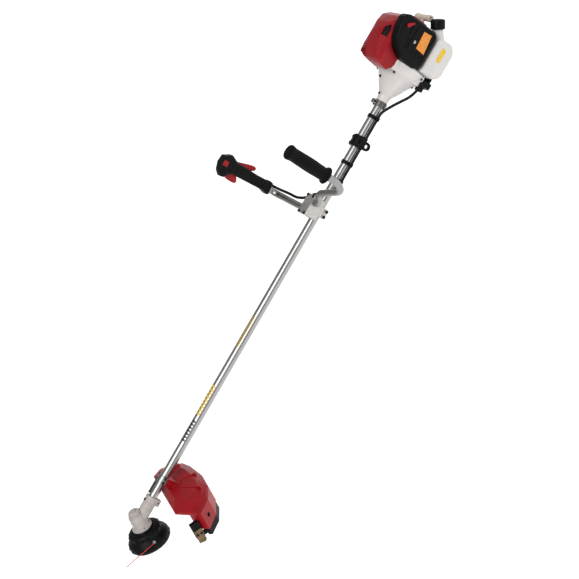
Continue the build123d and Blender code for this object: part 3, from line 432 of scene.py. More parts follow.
def rounded_slab(bm, corners, left, right, radius, steps=4):
    """A slab with the rims of both its sides rounded over."""
    crown(bm, slab(bm, corners, left, right), radius, steps)
    crown(bm, max(bm.faces, key=lambda face: face.calc_center_median().y), radius, steps)


def along_y(x, z):
    """A place whose local Z axis points along +Y, at (x, z) in the side view."""
    return Matrix.Translation((x, 0, z)) @ Matrix.Rotation(math.radians(-90), 4, "X")


def along_x(y, z):
    """A place whose local Z axis points along +X, at (y, z) in the front view."""
    return Matrix.Translation((0, y, z)) @ Matrix.Rotation(math.radians(90), 4, "Y")


def keep(name, bm, place, body, finish, replaced=(), edge=None, angle=32):
    """Close a shape up, face it outwards, move it from local millimetres to metres and add it to the tool."""
    bmesh.ops.remove_doubles(bm, verts=bm.verts, dist=0.01)
    bmesh.ops.recalc_face_normals(bm, faces=bm.faces)
    bmesh.ops.transform(bm, matrix=Matrix.Scale(0.001, 4) @ place, verts=bm.verts)
    mesh = bpy.data.meshes.new(name)
    bm.to_mesh(mesh)
    bm.free()
    piece = bpy.data.objects.new(name, mesh)
    bpy.context.scene.collection.objects.link(piece)
    mesh.materials.append(material(finish))
    if edge:
        ease = piece.modifiers.new("edges", "BEVEL")
        ease.width = edge / 1000
        ease.segments = 3
        ease.limit_method = "ANGLE"
        ease.angle_limit = math.radians(angle)
        ease.harden_normals = True
    mesh.shade_smooth()
    mesh.set_sharp_from_angle(angle=math.radians(angle))
    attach(piece, body)
    if replaced:
        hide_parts(*replaced)
    return piece


def carve(piece, place, *shapes):
    """Take shapes, drawn by functions into an empty mesh in local millimetres, out of a piece."""
    for draw in shapes:
        bm = bmesh.new()
        draw(bm)
        bmesh.ops.recalc_face_normals(bm, faces=bm.faces)
        bmesh.ops.transform(bm, matrix=Matrix.Scale(0.001, 4) @ place, verts=bm.verts)
        mesh = bpy.data.meshes.new("cutter")
        bm.to_mesh(mesh)
        bm.free()
        cutter = bpy.data.objects.new("cutter", mesh)
        bpy.context.scene.collection.objects.link(cutter)
        taking = piece.modifiers.new("carve", "BOOLEAN")
        taking.object = cutter
        taking.operation = "DIFFERENCE"
        taking.solver = "EXACT"
        later = [item for item in piece.modifiers if item != taking]
        shown = [item.show_viewport for item in later]
        for item in later:
            item.show_viewport = False
        seen = piece.evaluated_get(bpy.context.evaluated_depsgraph_get())
        cut = bpy.data.meshes.new_from_object(seen)
        for item, was in zip(later, shown):
            item.show_viewport = was
        piece.modifiers.remove(taking)
        bpy.data.objects.remove(cutter)
        if not cut.polygons:
            raise RuntimeError(f"nothing is left of {piece.name}")
        cut.shade_smooth()
        cut.set_sharp_from_angle(angle=math.radians(32))
        piece.data = cut


def dress(finish, *nodes):
    """Give CAD pieces their material."""
    for name in nodes:
        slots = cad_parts[name].data.materials
        slots.clear()
        slots.append(material(finish))


# ---- operators, one for each piece or group
class TRIMMER_OT_camera(bpy.types.Operator):
    """Place the camera beside and above the tool, with the shaft running up the picture"""
    bl_idname = "trimmer.camera"
    bl_label = "Camera"

    def execute(self, context):
        data = bpy.data.cameras.new("camera")
        data.lens = 89.7
        data.sensor_width = 36.0
        data.clip_end = 50.0
        camera = bpy.data.objects.new("camera", data)
        context.scene.collection.objects.link(camera)
        right, up, back = (0.5007, -0.4328, -0.7496), (0.8656, 0.2504, 0.4336), (0.0, -0.866, 0.5)
        turn = Matrix((right, up, back)).transposed().to_4x4()
        camera.matrix_world = Matrix.Translation((-0.506, -3.9196, 2.244)) @ turn
        context.scene.camera = camera
        return {"FINISHED"}


class TRIMMER_OT_line(bpy.types.Operator):
    """Lay the cutting line from its eyelet, bent back a little by its own set"""
    bl_idname = "trimmer.line"
    bl_label = "Cutting line"

    def execute(self, context):
        route = [(0, -58, -55), (0, -68.5, -55), (-14, -74, -55), (-46, -79, -55.5), (-80, -86, -55),
                 (-113, -93, -55)]
        points = [HEAD @ Vector(point) * 0.001 for point in route]
        data = bpy.data.curves.new("cutting_line", "CURVE")
        data.dimensions = "3D"
        data.bevel_depth = sizes().line_radius
        data.bevel_resolution = 4
        data.resolution_u = 24
        data.use_fill_caps = True
        spline = data.splines.new("NURBS")
        spline.points.add(len(points) - 1)
        for point, place in zip(spline.points, points):
            point.co = (*place, 1)
        spline.order_u = 3
        spline.use_endpoint_u = True
        line = bpy.data.objects.new("cutting_line", data)
        context.scene.collection.objects.link(line)
        data.materials.append(material("line"))
        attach(line, "cutting_head")
        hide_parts("trimmer_line")
        return {"FINISHED"}


class TRIMMER_OT_gearhead(bpy.types.Operator):
    """Paint the gearhead and add its cast rings"""
    bl_idname = "trimmer.gearhead"
    bl_label = "Gearhead"

    def execute(self, context):
        dress("grey", "gearhead_housing", "gearhead_cap")
        dress("steel", "output_spindle", "output_gear", "input_pinion", "ball_bearings")
        dress("plate steel", "arbor_flange")
        bm = bmesh.new()
        for height, radius in ((23.5, 24.4), (28.5, 21.6), (33.5, 20.2)):
            bead(bm, radius - 3.5, radius, height, 1.6, 1.1)
        lathe(bm, [(24.6, 2), (26.4, 3), (26.4, 5.5), (24.6, 6.5)], closed=True)
        keep("gearhead_rings", bm, HEAD, "frame", "grey", edge=0.5)
        bm = bmesh.new()
        for reach in (27, 46, 65):
            bead(bm, 19.6, 20.9, reach, 2, 1.2)
        keep("gearhead_sleeve_rings", bm, SHAFT_AT_HEAD @ along_x(0, 0), "frame",
             "grey", edge=0.4)
        return {"FINISHED"}


class TRIMMER_OT_cutting_head(bpy.types.Operator):
    """Finish the line head: ribs round the drum, finger grips on the lower cover and the plated eyelets"""
    bl_idname = "trimmer.cutting_head"
    bl_label = "Cutting head"

    def execute(self, context):
        dress("head black", "head_housing", "head_cover", "bump_knob", "line_spool")
        dress("steel", "line_eyelets", "spool_spring")
        bm = bmesh.new()
        for number in range(16):
            turn = Matrix.Rotation(math.radians(22.5 * number + 11.25), 4, "Z")
            prism(bm, [(52.5, -2.2), (56.6, -1.6), (56.6, 1.6), (52.5, 2.2)], -47.5, -37, turn)
            prism(bm, [(67.5, -3.6), (71.4, -2.4), (71.4, 2.4), (67.5, 3.6)], -80, -71, turn)
        keep("head_grip_ribs", bm, HEAD, "cutting_head", "head black", edge=0.7)
        bm = bmesh.new()
        for height, radius in ((-50.5, 57.4), (-59.5, 65.4)):
            bead(bm, radius - 2, radius, height, 0.9, 0.6)
        keep("head_rings", bm, HEAD, "cutting_head", "head black", edge=0.3)
        return {"FINISHED"}


GUARD_CENTRE = Vector((165, -30, 0))
GUARD_OUTLINE = [(124, 130), (157, 147), (184, 133), (222, 97), (232, 54), (237, -37), (226, -110),
                 (196, -172), (150, -215), (131, -190), (93, -125), (110, 20)]


class TRIMMER_OT_guard(bpy.types.Operator):
    """Mould the faceted guard with its steps, ribs and recess, and finish the skirt and cutter"""
    bl_idname = "trimmer.guard"
    bl_label = "Guard"

    def execute(self, context):
        bm = bmesh.new()
        top = prism(bm, GUARD_OUTLINE, -46, 28)
        flat = [face for face in bm.faces if face.calc_center_median().z < -45.9]
        bmesh.ops.delete(bm, geom=flat, context="FACES")
        level, share = 28, 1.0
        shares = [(0.96, 30.4), (0.95, 31.8), (0.83, 37.6), (0.815, 39.2), (0.70, 44.8), (0.69, 46.2),
                  (0.62, 49)]
        for new_share, new_level in shares:
            made = bmesh.ops.extrude_face_region(bm, geom=[top])["geom"]
            verts = [item for item in made if isinstance(item, bmesh.types.BMVert)]
            bmesh.ops.delete(bm, geom=[top], context="FACES_ONLY")
            bmesh.ops.scale(bm, vec=(new_share / share, new_share / share, 1), verts=verts,
                            space=Matrix.Translation(-GUARD_CENTRE))
            bmesh.ops.translate(bm, vec=(0, 0, new_level - level), verts=verts)
            top = next(item for item in made if isinstance(item, bmesh.types.BMFace))
            level, share = new_level, new_share
        bmesh.ops.bisect_plane(bm, geom=bm.verts[:] + bm.edges[:] + bm.faces[:], plane_co=(0, -260, -40),
                               plane_no=(0, 36, -440), clear_outer=True)
        bmesh.ops.recalc_face_normals(bm, faces=bm.faces)
        bmesh.ops.solidify(bm, geom=bm.faces[:], thickness=WALL)
        guard = keep("guard_shell", bm, HEAD, "frame", "red", ["debris_guard"], edge=1.1,
                     angle=12)

        def front(cut):
            prism(cut, [(60, -200), (118, -210), (130, -185), (99, -124), (116, 20), (130, 134), (60, 134)],
                  -50, 20)

        def notches(cut):
            for x, y in ((206, 117), (216, 108), (227, 80)):
                prism(cut, [(x - 4, y + 4), (x + 6, y + 9), (x + 9, y - 2), (x + 1, y - 5)], -60, 24)

        out_of_wall = Vector((0.683, -0.73, 0)).to_track_quat("Z", "Y").to_matrix().to_4x4()
        recess_at = Matrix.Translation((172, -194.5, -4)) @ out_of_wall

        def recess(cut):
            rod(cut, 7, -6, 6, recess_at)

        carve(guard, HEAD, front, notches, recess)
        bm = bmesh.new()
        for corners in ([(128, -18), (134, -22), (206, -118), (201, -122)],
                        [(128, 22), (133, 26), (205, 74), (208, 69)],
                        [(174, -12), (174, -17), (222, -40), (223, -34)]):
            prism(bm, corners, 40, 50.6)
        keep("guard_ribs", bm, HEAD, "frame", "red", edge=0.9)
        bm = bmesh.new()
        pad = prism(bm, [(134, -36), (134, 36), (163, 40), (178, 18), (178, -18), (163, -40)], 46, 51.4)
        crown(bm, pad, 1.2, 3)
        keep("guard_pad", bm, HEAD, "frame", "red", edge=0.6)
        bm = bmesh.new()
        slab(bm, [(137, 0), (163, 0), (165, -39), (134, -21)], -30, 30)
        saddle = keep("guard_saddle", bm, SHAFT_AT_HEAD, "frame", "red", edge=1.6)

        def tube(cut):
            rod(cut, SHAFT_RADIUS + 0.02, 120, 180, along_x(0, 0))

        carve(saddle, SHAFT_AT_HEAD, tube)
        bm = bmesh.new()
        arc = [math.radians(12 * step) for step in range(16)]
        outer = [(17.4 * math.cos(turn), 17.4 * math.sin(turn)) for turn in arc]
        inner = [(14.1 * math.cos(turn), 14.1 * math.sin(turn)) for turn in reversed(arc)]
        strap = [(30, 0), (30, 3.8), (17.6, 3.8), *outer[2:-2], (-17.6, 3.8), (-30, 3.8), (-30, 0), *inner]
        prism(bm, strap, 138, 162, FRONTWAYS)
        slab(bm, [(91, 1), (139, 1), (139, 15), (91, 15)], 14.2, 17)
        keep("guard_strap", bm, SHAFT_AT_HEAD, "frame", "plate steel", ["guard_bracket"], edge=0.5)
        bm = bmesh.new()
        lathe(bm, [(0, -3.4), (7.6, -3.4), (7.6, -2.6), (6.95, -2.6), (6.95, 0.6), (5.6, 0.6), (4.8, -1.8),
                   (0, -2.2)], recess_at)
        keep("guard_recess_plug", bm, HEAD, "frame", "black")
        dress("black", "guard_skirt")
        dress("blade", "line_cutter")
        dress("dark steel", "front_screws")
        return {"FINISHED"}


class TRIMMER_OT_shaft(bpy.types.Operator):
    """Polish the shaft, fit its clamps, cable and clips, and wrap its printed marks"""
    bl_idname = "trimmer.shaft"
    bl_label = "Shaft"

    def mark(self, name, finish, spans, width):
        """Plain patches of film wrapped on the upper left of the tube. The width is in degrees."""
        film_middle = 205
        first = Matrix.Rotation(math.radians(film_middle - width / 2), 4, "Z")
        bm = bmesh.new()
        for low, high in spans:
            verts = [bm.verts.new(SHAFT @ first @ Vector((SHAFT_RADIUS + 0.12, 0, x))) for x in (low, high)]
            edge = bm.edges.new(verts)
            bmesh.ops.spin(bm, geom=verts + [edge], cent=SHAFT.translation, axis=(1, 0, 0),
                           angle=math.radians(width), steps=8)
        keep(name, bm, Matrix(), "frame", finish)

    def execute(self, context):
        dress("tube", "shaft_tube")
        dress("steel", "drive_rod")
        dress("black", "shaft_bushes", "cable_clips", "harness_clamp_upper", "harness_clamp_lower")
        dress("cable", "throttle_cable")
        dress("dark steel", "cap_screws")
        black = [(low, low + 7) for low in range(-1080, -1013, 11)]
        yellow = [(low, low + 8) for low in range(-986, -889, 12)]
        self.mark("shaft_mark_black", "black film", black, 62)
        self.mark("shaft_mark_yellow", "yellow film", yellow, 58)
        self.mark("shaft_mark_olive", "olive film", [(-742, -634)], 34)
        return {"FINISHED"}


class TRIMMER_OT_handlebar(bpy.types.Operator):
    """Finish the cast bracket and the two bars, and mould the left grip"""
    bl_idname = "trimmer.handlebar"
    bl_label = "Handlebar"

    def execute(self, context):
        dress("casting", "handle_bracket", "handle_cap")
        # The left bar's darker satin tone is partly painted shade.
        dress("satin bar with painted shade", "left_handle_tube")
        dress("tube", "right_handle_tube")
        bm = bmesh.new()
        lathe(bm, [(11.1, 148), (25.5, 148), (27, 149.2), (27.2, 151), (26.4, 153.4), (22.4, 156.5),
                   (20.4, 160), (20.8, 180), (21.8, 204), (22, 216), (21.6, 240), (20.8, 268), (20.8, 280),
                   (22.2, 287), (23.3, 293), (23, 296), (21, 298.8), (17, 300), (6, 300), (5, 299), (0, 299)])
        keep("left_grip_rubber", bm, LEFT_GRIP, "frame", "rubber", ["left_grip"], angle=45)
        return {"FINISHED"}


SHELL_SIDE = [(22, 88), (25, 100), (21, 112), (19, 150), (19, 232), (31, 260), (17, 284), (-8, 286),
              (-33, 277), (-46, 262), (-43, 251), (-30, 244), (-21, 232), (-19, 190), (-14, 112), (-19, 92),
              (-16, 84), (0, 86)]
TRIGGER_PIN = (-26, 252)
LOCKOUT_PIN = (14, 236)


class TRIMMER_OT_throttle(bpy.types.Operator):
    """Mould the throttle handle's two shells, its trigger and lockout lever, and colour the stop switch red
    """
    bl_idname = "trimmer.throttle"
    bl_label = "Throttle handle"

    def execute(self, context):
        inside = [(16, 195), (16, 233), (27, 260), (15, 280), (-8, 282), (-31, 274), (-42, 261), (-39, 255),
                  (-28, 248), (-17, 233), (-16, 195)]

        def slots(cut):
            slab(cut, [(-12, 196), (-12, 244), (-30, 262), (-46, 258), (-46, 180), (-16, 190)], -5.3, 5.3)
            slab(cut, [(12, 160), (12, 244), (24, 244), (40, 150), (30, 150)], -4.3, 4.3)

        def hollow(cut):
            slab(cut, inside, -15.5, 15.5)

        def bar(cut):
            rod(cut, 11, 60, 192)

        def cable(cut):
            rod(cut, 4.65, 60, 97, Matrix.Translation((16, -1, 0)))

        def rocker(cut):
            slab(cut, [(-12, 262), (6, 262), (6, 280), (-12, 280)], -30, -15)

        for side, name in ((-1, "left"), (1, "right")):
            bm = bmesh.new()
            first, last = sorted((side * 0.15, side * 12.0))
            slab(bm, SHELL_SIDE, first, last)
            cap = max(bm.faces, key=lambda face: side * face.calc_center_median().y)
            crown(bm, cap, 7.0, 5)
            shell = keep(f"throttle_shell_{name}_moulded", bm, THROTTLE, "frame", "black",
                         [f"throttle_shell_{name}"], edge=1.0, angle=40)
            carve(shell, THROTTLE, hollow, slots, bar, cable, rocker)
        bm = bmesh.new()
        front = [(-22, 256), (-32, 258), (-38, 249), (-41.5, 240), (-43.2, 230), (-43.6, 221), (-43, 211),
                 (-41.5, 203.5), (-34, 200), (-15, 212), (-15, 240)]
        rounded_slab(bm, front, -3.2, 3.2, 1.8)
        trigger = keep("throttle_trigger_moulded", bm, THROTTLE, "trigger", "red",
                       ["throttle_trigger"], edge=0.4)

        carve(trigger, THROTTLE, lambda cut: rod(cut, 2.55, -12, 12, along_y(*TRIGGER_PIN)))
        bm = bmesh.new()
        lever = [(12, 228), (13, 238), (19, 240), (24, 223), (29, 206), (33.5, 192), (37, 178), (38, 168),
                 (34, 162), (27, 162), (20, 172), (17.5, 186), (15.5, 204)]
        rounded_slab(bm, lever, -2.6, 2.6, 1.4)
        lock = keep("lockout_lever_moulded", bm, THROTTLE, "lockout", "red", ["lockout_lever"],
                    edge=0.4)

        carve(lock, THROTTLE, lambda cut: rod(cut, 2.55, -12, 12, along_y(*LOCKOUT_PIN)))
        bm = bmesh.new()
        for place in (TRIGGER_PIN, LOCKOUT_PIN):
            rod(bm, 3.2, -19.6, -18.2, along_y(*place))
            rod(bm, 3.2, 18.2, 19.6, along_y(*place))
        rod(bm, 3.2, 18.2, 19.6, along_y(-6, 270))
        keep("throttle_screw_caps", bm, THROTTLE, "frame", "dark steel", edge=0.3)
        dress("red", "stop_switch")
        return {"FINISHED"}


class TRIMMER_OT_engine_inside(bpy.types.Operator):
    """Finish the pieces inside the engine and its foot"""
    bl_idname = "trimmer.engine_inside"
    bl_label = "Engine inside"

    def execute(self, context):
        dress("engine casting", "crankcase", "cylinder", "carburettor", "piston", "flywheel")
        dress("steel", "crankshaft", "clutch_drum", "muffler", "spark_plug")
        dress("dark steel", "clutch_shoes")
        dress("foam", "air_filter")
        dress("rubber", "fuel_cap_seal")
        dress("black", "engine_foot", "starter_pulley")
        return {"FINISHED"}


class TRIMMER_OT_housing(bpy.types.Operator):
    """Paint the clutch housing and add its cast ribs, parting bead and collar grooves"""
    bl_idname = "trimmer.housing"
    bl_label = "Clutch housing"

    def execute(self, context):
        dress("white", "clutch_housing")
        dress("engine casting", "tube_collar")
        bm = bmesh.new()
        lathe(bm, [(57.3, 90.6), (59.5, 91), (60.5, 93), (59.3, 94.6)], along_x(0, 0), closed=True)
        lathe(bm, [(20.6, 27.5), (21.9, 28.4), (22.2, 30.6), (21.2, 31.6)], along_x(0, 0), closed=True)
        for turn in (-98, -172, 98, 172, 130):
            place = Matrix.Rotation(math.radians(turn), 4, "X")
            slab_place = place @ SIDEWAYS
            prism(bm, [(34, 22), (50, 33), (88, 56), (90, 60), (50, 36.6), (34, 25.4)], -1.5, 1.5, slab_place)
        keep("housing_ribs", bm, ENGINE, "frame", "white", edge=0.7)
        bm = bmesh.new()
        for reach in (-9.5, -5.5, -1.5, 2.5, 6.0):
            bead(bm, 20, 21.6, reach, 1.1, 0.7, along_x(0, 0))
        keep("collar_ribs", bm, ENGINE, "frame", "rubber", edge=0.3)
        return {"FINISHED"}


class TRIMMER_OT_cover(bpy.types.Operator):
    """Mould the red engine cover with its rounded shoulders, window and cooling slots"""
    bl_idname = "trimmer.cover"
    bl_label = "Engine cover"

    def form(self, bm, side, left, right, inward):
        """The side outline drawn across, planed to its front view and its plan."""
        slab(bm, side, left, right)
        front = [(-60, 112), (-52, 130), (-34, 142), (-10, 146.5), (12, 146.5), (40, 137), (66, 118),
                 (84, 98), (92, 80)]
        plan = [(88, 0), (100, 34), (120, 66), (142, 92)]
        planes = [(Vector((0, y, z)), Vector((0, z - z1, y1 - y)))
                  for (y, z), (y1, z1) in zip(front, front[1:]) if z != z1]
        planes += [(Vector((x, y, 0)), Vector((y - y1, x1 - x, 0)))
                   for (x, y), (x1, y1) in zip(plan, plan[1:])]
        for corner, outward in planes:
            outward.normalize()
            bmesh.ops.bisect_plane(bm, geom=bm.verts[:] + bm.edges[:] + bm.faces[:],
                                   plane_co=corner - outward * inward, plane_no=outward,
                                   clear_outer=True, dist=0.01)
            bmesh.ops.holes_fill(bm, edges=[edge for edge in bm.edges if edge.is_boundary], sides=0)
        bmesh.ops.remove_doubles(bm, verts=bm.verts, dist=0.05)
        bmesh.ops.recalc_face_normals(bm, faces=bm.faces)

    def execute(self, context):
        side = [(88, 76), (89, 92), (93, 106), (101, 118.5), (113, 129), (130, 137), (158, 142.5), (189, 146),
                (216, 138), (250, 116), (272, 84), (272, 30), (141, 30), (139, 46), (104, 64)]
        inner = [(90.5, 20), (90.5, 79), (91.5, 92), (95.3, 104.8), (103, 116.6), (114.3, 126.8),
                 (131, 134.5), (158.5, 140), (189, 143.4), (215, 135.6), (248.3, 114), (269.5, 83),
                 (269.5, 20)]
        bm = bmesh.new()
        self.form(bm, side, -60, 92, 0)
        sharp = [edge for edge in bm.edges if edge.calc_face_angle(0) > math.radians(6)
                 and min(vert.co.z for vert in edge.verts) > 66
                 and max(vert.co.x for vert in edge.verts) < 268]
        bmesh.ops.bevel(bm, geom=sharp, offset=5.5, offset_type="OFFSET", affect="EDGES", segments=4,
                        profile=0.5, material=-1, clamp_overlap=True)
        cover = keep("engine_cover_moulded", bm, ENGINE, "frame", "red", ["engine_cover"],
                     angle=34)

        def hollow(cut):
            self.form(cut, inner, WALL - 60, 92 - WALL, WALL)

        def window(cut):
            slab(cut, [(171, 127), (172, 141), (199, 141), (214, 131), (196, 126)], -70, -34)

        def slots(cut):
            pitch, width, furthest = 5.6, 2.8, 86
            for number in range(sizes().louvres):
                start = 100 + number * pitch
                # The slots end short of the cover's rounded side, which tapers towards the shaft.
                slab(cut, [(start, 96), (start + width, 96), (start + width, 156), (start, 156)], 20,
                     min(furthest, 1.45 * start - 118))

        def clutch(cut):
            lathe(cut, [(0, 60), (54, 60), (54, 80), (58.5, 90), (72.5, 104), (82.5, 138), (0, 138)],
                  along_x(0, 0))

        def recoil(cut):
            rod(cut, 49, 180, 300, along_x(0, 0))

        def outlet(cut):
            slab(cut, [(150, 36), (200, 36), (200, 92), (150, 92)], 80, 100)

        def intake(cut):
            rod(cut, 10, -66, -50, along_y(164, 64))

        carve(cover, ENGINE, hollow, window, slots, clutch, recoil, outlet, intake)
        bm = bmesh.new()
        for number in range(4):
            slab(bm, [(150, 44 + 11 * number), (200, 47 + 11 * number), (200, 51 + 11 * number),
                      (150, 48 + 11 * number)], 87.5, 91.5)
        keep("exhaust_grille", bm, ENGINE, "frame", "black", edge=0.6)
        # Painted shade: a black sheet set just inside the window darkens the opening as shadow would.
        bm = bmesh.new()
        facet = Matrix(((1, 0, 0, 195), (0, 0.675, -0.737, -46), (0, 0.737, 0.675, 134), (0, 0, 0, 1)))
        crown(bm, prism(bm, [(-26, -9), (-24, 9), (4, 10), (22, -2), (2, -10)], -9, -6, facet), 1.0, 2)
        keep("cover_window_painted_shade", bm, ENGINE, "frame", "black")
        return {"FINISHED"}


class TRIMMER_OT_filter(bpy.types.Operator):
    """Mould the filter cover with its sunk panels, and add the choke lever and the plain label"""
    bl_idname = "trimmer.filter"
    bl_label = "Filter cover"

    def execute(self, context):
        side = [(131, 14), (133, 58), (141, 79), (154, 99), (178, 118), (214, 129), (246, 131),
                (257, 124), (263, 112), (262, 6), (250, -6), (150, -6)]
        choke_pin = (233, 103)
        bm = bmesh.new()
        slab(bm, side, -89, -60.2)
        outer = min(bm.faces, key=lambda face: face.calc_center_median().y)
        crown(bm, outer, 8.0, 5)
        cover = keep("filter_cover_moulded", bm, ENGINE, "frame", "black",
                     ["air_filter_cover"], edge=0.9)

        def hollow(cut):
            slab(cut, [(136, 18), (138, 57), (158, 95), (181, 113), (214, 124), (244, 126), (257, 111),
                       (257, 10), (247, -1), (154, -1)], -90, -50)

        def upper(cut):
            slab(cut, [(208, 86), (213, 114), (232, 119), (247, 116), (252, 86)], -110, -94.6)

        def lower(cut):
            slab(cut, [(158, 4), (160, 58), (172, 75), (252, 75), (252, 4)], -110, -95.4)

        def bevelled(cut):
            slab(cut, [(163, 82), (187, 104), (204, 111), (200, 84), (180, 78)], -110, -95.6)

        def housing(cut):
            lathe(cut, [(0, 60), (56, 80), (72.5, 104), (82.5, 133), (82.5, 138), (0, 138)],
                  along_x(0, 0))

        def pin(cut):
            rod(cut, 3.05, -110, -70, along_y(*choke_pin))

        carve(cover, ENGINE, hollow, upper, lower, bevelled, housing, pin)
        bm = bmesh.new()
        crown(bm, slab(bm, [(163, 61), (168, 71), (246, 71), (246, 64), (176, 60)], -97.2, -93.4), 0.6, 2)
        for number in range(3):
            slab(bm, [(164, 12 + 16 * number), (178, 12 + 16 * number), (178, 17 + 16 * number),
                      (164, 17 + 16 * number)], -96.8, -93.4)
        keep("filter_cover_ribs", bm, ENGINE, "frame", "black", edge=0.7)
        bm = bmesh.new()
        lathe(bm, [(0, -97.6), (3.4, -97.3), (5, -96.3), (5, -93.6), (0, -93.6)], along_y(200, 58))
        keep("filter_latch", bm, ENGINE, "frame", "steel")
        bm = bmesh.new()
        slab(bm, [(184, 8.5), (187, 42), (243, 45.5), (246, 16)], -95.7, -95.2)
        keep("filter_label", bm, ENGINE, "frame", "orange film")
        bm = bmesh.new()
        lever = [(223, 104.5), (225.5, 110.5), (231.5, 113.5), (237, 108), (247.5, 93), (244, 88.5),
                 (230, 99)]
        crown(bm, slab(bm, lever, -101.2, -97.4), 0.9, 3)
        rod(bm, 3, -101, -89, along_y(*choke_pin))
        keep("choke_lever_moulded", bm, ENGINE, "choke", "red", ["choke_lever"], edge=0.4)
        return {"FINISHED"}


class TRIMMER_OT_tank(bpy.types.Operator):
    """Blow the fuel tank with its neck, seam and plain patch, and fit the cap"""
    bl_idname = "trimmer.tank"
    bl_label = "Fuel tank"

    def execute(self, context):
        side = [(138.5, -14), (250, -14), (258, -19), (262, -30), (262, -68), (252, -80), (236, -90),
                (160, -90), (146, -80), (138.5, -62)]
        bm = bmesh.new()
        slab(bm, side, -83, 83)
        for sign in (-1, 1):
            crown(bm, max(bm.faces, key=lambda face: sign * face.calc_center_median().y), 12.0, 6)
        tank = keep("fuel_tank_blown", bm, ENGINE, "frame", "tank", ["fuel_tank"],
                    edge=5.0, angle=28)

        def trough(cut):
            slab(cut, [(100, -50), (300, -50), (300, 20), (100, 20)], -50, 50)

        def clutch(cut):
            rod(cut, 83, 60, 138, along_x(0, 0))

        carve(tank, ENGINE, trough, clutch)
        bm = bmesh.new()
        lathe(bm, [(13, -1), (14, 0), (16.4, 0), (17, -0.8), (17, -30), (18.2, -32), (19, -40), (22, -52),
                   (25, -62), (25, -72), (0, -72), (0, -50), (13, -48)], closed=True)
        keep("fuel_tank_neck", bm, NECK, "frame", "tank", angle=40)
        bm = bmesh.new()
        slab(bm, [(262.6, -32), (262.6, -66), (236.4, -90.8), (160, -90.8), (160, -88), (236, -88),
                  (260, -66), (260, -32)], -1.4, 1.4)
        keep("fuel_tank_seam", bm, ENGINE, "frame", "tank", edge=0.6)
        bm = bmesh.new()
        patch = [(189, -49), (191, -43), (197, -40), (230, -38.5), (236, -41), (238, -46), (236, -53),
                 (230, -56), (197, -55), (191, -53)]
        crown(bm, slab(bm, patch, -95.25, -94.6), 0.15, 2)
        keep("fuel_tank_patch", bm, ENGINE, "frame", "yellow film")
        bm = bmesh.new()
        lathe(bm, [(17.6, -18), (21.2, -18), (22, -16.8), (22, 8.6), (20.6, 11), (18.5, 12), (6, 12),
                   (5, 11.2), (0, 11.2), (0, 2.4), (17.6, 2.4)])
        for number in range(24):
            turn = Matrix.Rotation(math.radians(15 * number), 4, "Z")
            prism(bm, [(20.6, -1.1), (22.6, -0.8), (22.6, 0.8), (20.6, 1.1)], -17, 9, turn)
        keep("fuel_cap_moulded", bm, NECK, "cap", "black", ["fuel_cap"], edge=0.4)
        return {"FINISHED"}


class TRIMMER_OT_starter(bpy.types.Operator):
    """Finish the recoil housing with its vents, and turn the pull handle"""
    bl_idname = "trimmer.starter"
    bl_label = "Starter"

    def execute(self, context):
        dress("black", "recoil_housing")
        bm = bmesh.new()
        lathe(bm, [(0, -31), (5.6, -31), (5.6, -35.4), (7, -36), (9.4, -36), (10.6, -34.6), (11.2, -30),
                   (10.4, -14), (9.8, 4), (10.4, 28), (11.4, 44), (10.8, 48.6), (9, 50), (0, 50)],
              along_y(302, 15))
        lathe(bm, [(0, 285.4), (5.6, 285.4), (6.4, 288), (6.8, 296), (8, 302), (0, 302)], along_x(4, 15))
        keep("starter_handle_moulded", bm, ENGINE, "starter", "beige", ["starter_handle"],
             angle=40)
        bm = bmesh.new()
        for number in range(18):
            turn = Matrix.Rotation(math.radians(20 * number), 4, "X")
            prism(bm, [(261.6, 26), (263, 26.5), (263, 42), (261.6, 43)], -1.3, 1.3, turn @ SIDEWAYS)
        keep("recoil_vent_ribs", bm, ENGINE, "frame", "black", edge=0.4)
        return {"FINISHED"}


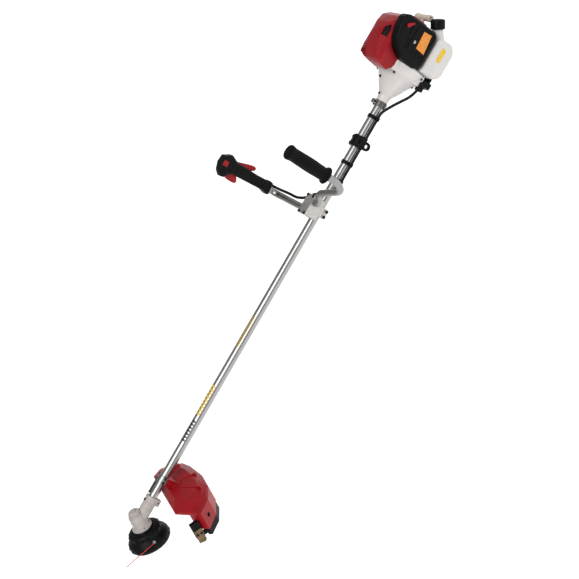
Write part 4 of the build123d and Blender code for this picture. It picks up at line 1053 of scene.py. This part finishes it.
class TRIMMER_OT_stage(bpy.types.Operator):
    """Lay the pale floor and hang the soft studio lights"""
    bl_idname = "trimmer.stage"
    bl_label = "Stage"

    def execute(self, context):
        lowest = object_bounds()[0].z
        bm = bmesh.new()
        bmesh.ops.create_grid(bm, x_segments=1, y_segments=1, size=60)
        bmesh.ops.translate(bm, vec=(0, 0, lowest - sizes().floor_drop), verts=bm.verts)
        mesh = bpy.data.meshes.new("floor")
        bm.to_mesh(mesh)
        bm.free()
        floor = bpy.data.objects.new("floor", mesh)
        context.scene.collection.objects.link(floor)
        # Matt paper: almost white, with a breath of unevenness and a low glow that clears the shadows.
        made, tree, shader, where = start("white_paper_floor", IOR=1.3, Roughness=0.9, Emission_Strength=0.42)
        shader.inputs["Emission Color"].default_value = (1, 1, 1, 1)
        two_tone(tree, shader, mottle(tree, where, 900, 0, 1), linear("#fafafa") + (1,),
                 linear("#ffffff") + (1,))
        mesh.materials.append(made)
        floor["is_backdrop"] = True
        world = bpy.data.worlds.new("studio")
        world.use_nodes = True
        world.node_tree.nodes["Background"].inputs["Color"].default_value = (1, 1, 1, 1)
        world.node_tree.nodes["Background"].inputs["Strength"].default_value = 0.34
        context.scene.world = world
        for name, aim, spread, power in (("key", (0.5, 1.5, -2.6), 34, 1.7),
                                         ("fill", (-0.9, 0.5, -0.8), 60, 0.35)):
            light = bpy.data.lights.new(name, "SUN")
            light.angle = math.radians(spread)
            light.energy = power
            lamp = bpy.data.objects.new(name, light)
            context.scene.collection.objects.link(lamp)
            lamp.rotation_euler = Vector(aim).to_track_quat("-Z", "Y").to_euler()
        context.scene.view_settings.view_transform = "Standard"
        return {"FINISHED"}


PIECES = (
    TRIMMER_OT_camera, TRIMMER_OT_line, TRIMMER_OT_gearhead, TRIMMER_OT_cutting_head, TRIMMER_OT_guard,
    TRIMMER_OT_shaft, TRIMMER_OT_handlebar, TRIMMER_OT_throttle, TRIMMER_OT_engine_inside, TRIMMER_OT_housing,
    TRIMMER_OT_cover, TRIMMER_OT_filter, TRIMMER_OT_tank, TRIMMER_OT_starter, TRIMMER_OT_stage,
)


class TRIMMER_PT_panel(bpy.types.Panel):
    """Lists the tool's pieces and their sizes and colours"""
    bl_label = "String Trimmer"
    bl_idname = "TRIMMER_PT_panel"
    bl_space_type = "VIEW_3D"
    bl_region_type = "UI"
    bl_category = "Trimmer"

    def draw(self, context):
        for group in (context.scene.trimmer_sizes, context.scene.trimmer_colours):
            box = self.layout.box()
            for key in group.__annotations__:
                box.prop(group, key)
        for piece in PIECES:
            self.layout.operator(piece.bl_idname)


CLASSES = (TrimmerSizes, TrimmerColours, *PIECES, TRIMMER_PT_panel)


def register():
    for item in CLASSES:
        bpy.utils.register_class(item)
    bpy.types.Scene.trimmer_sizes = PointerProperty(type=TrimmerSizes)
    bpy.types.Scene.trimmer_colours = PointerProperty(type=TrimmerColours)


def unregister():
    del bpy.types.Scene.trimmer_colours
    del bpy.types.Scene.trimmer_sizes
    for item in reversed(CLASSES):
        bpy.utils.unregister_class(item)


def main():
    register()
    for piece in PIECES:
        group, action = piece.bl_idname.split(".")
        getattr(getattr(bpy.ops, group), action)()


if __name__ == "__main__":
    main()
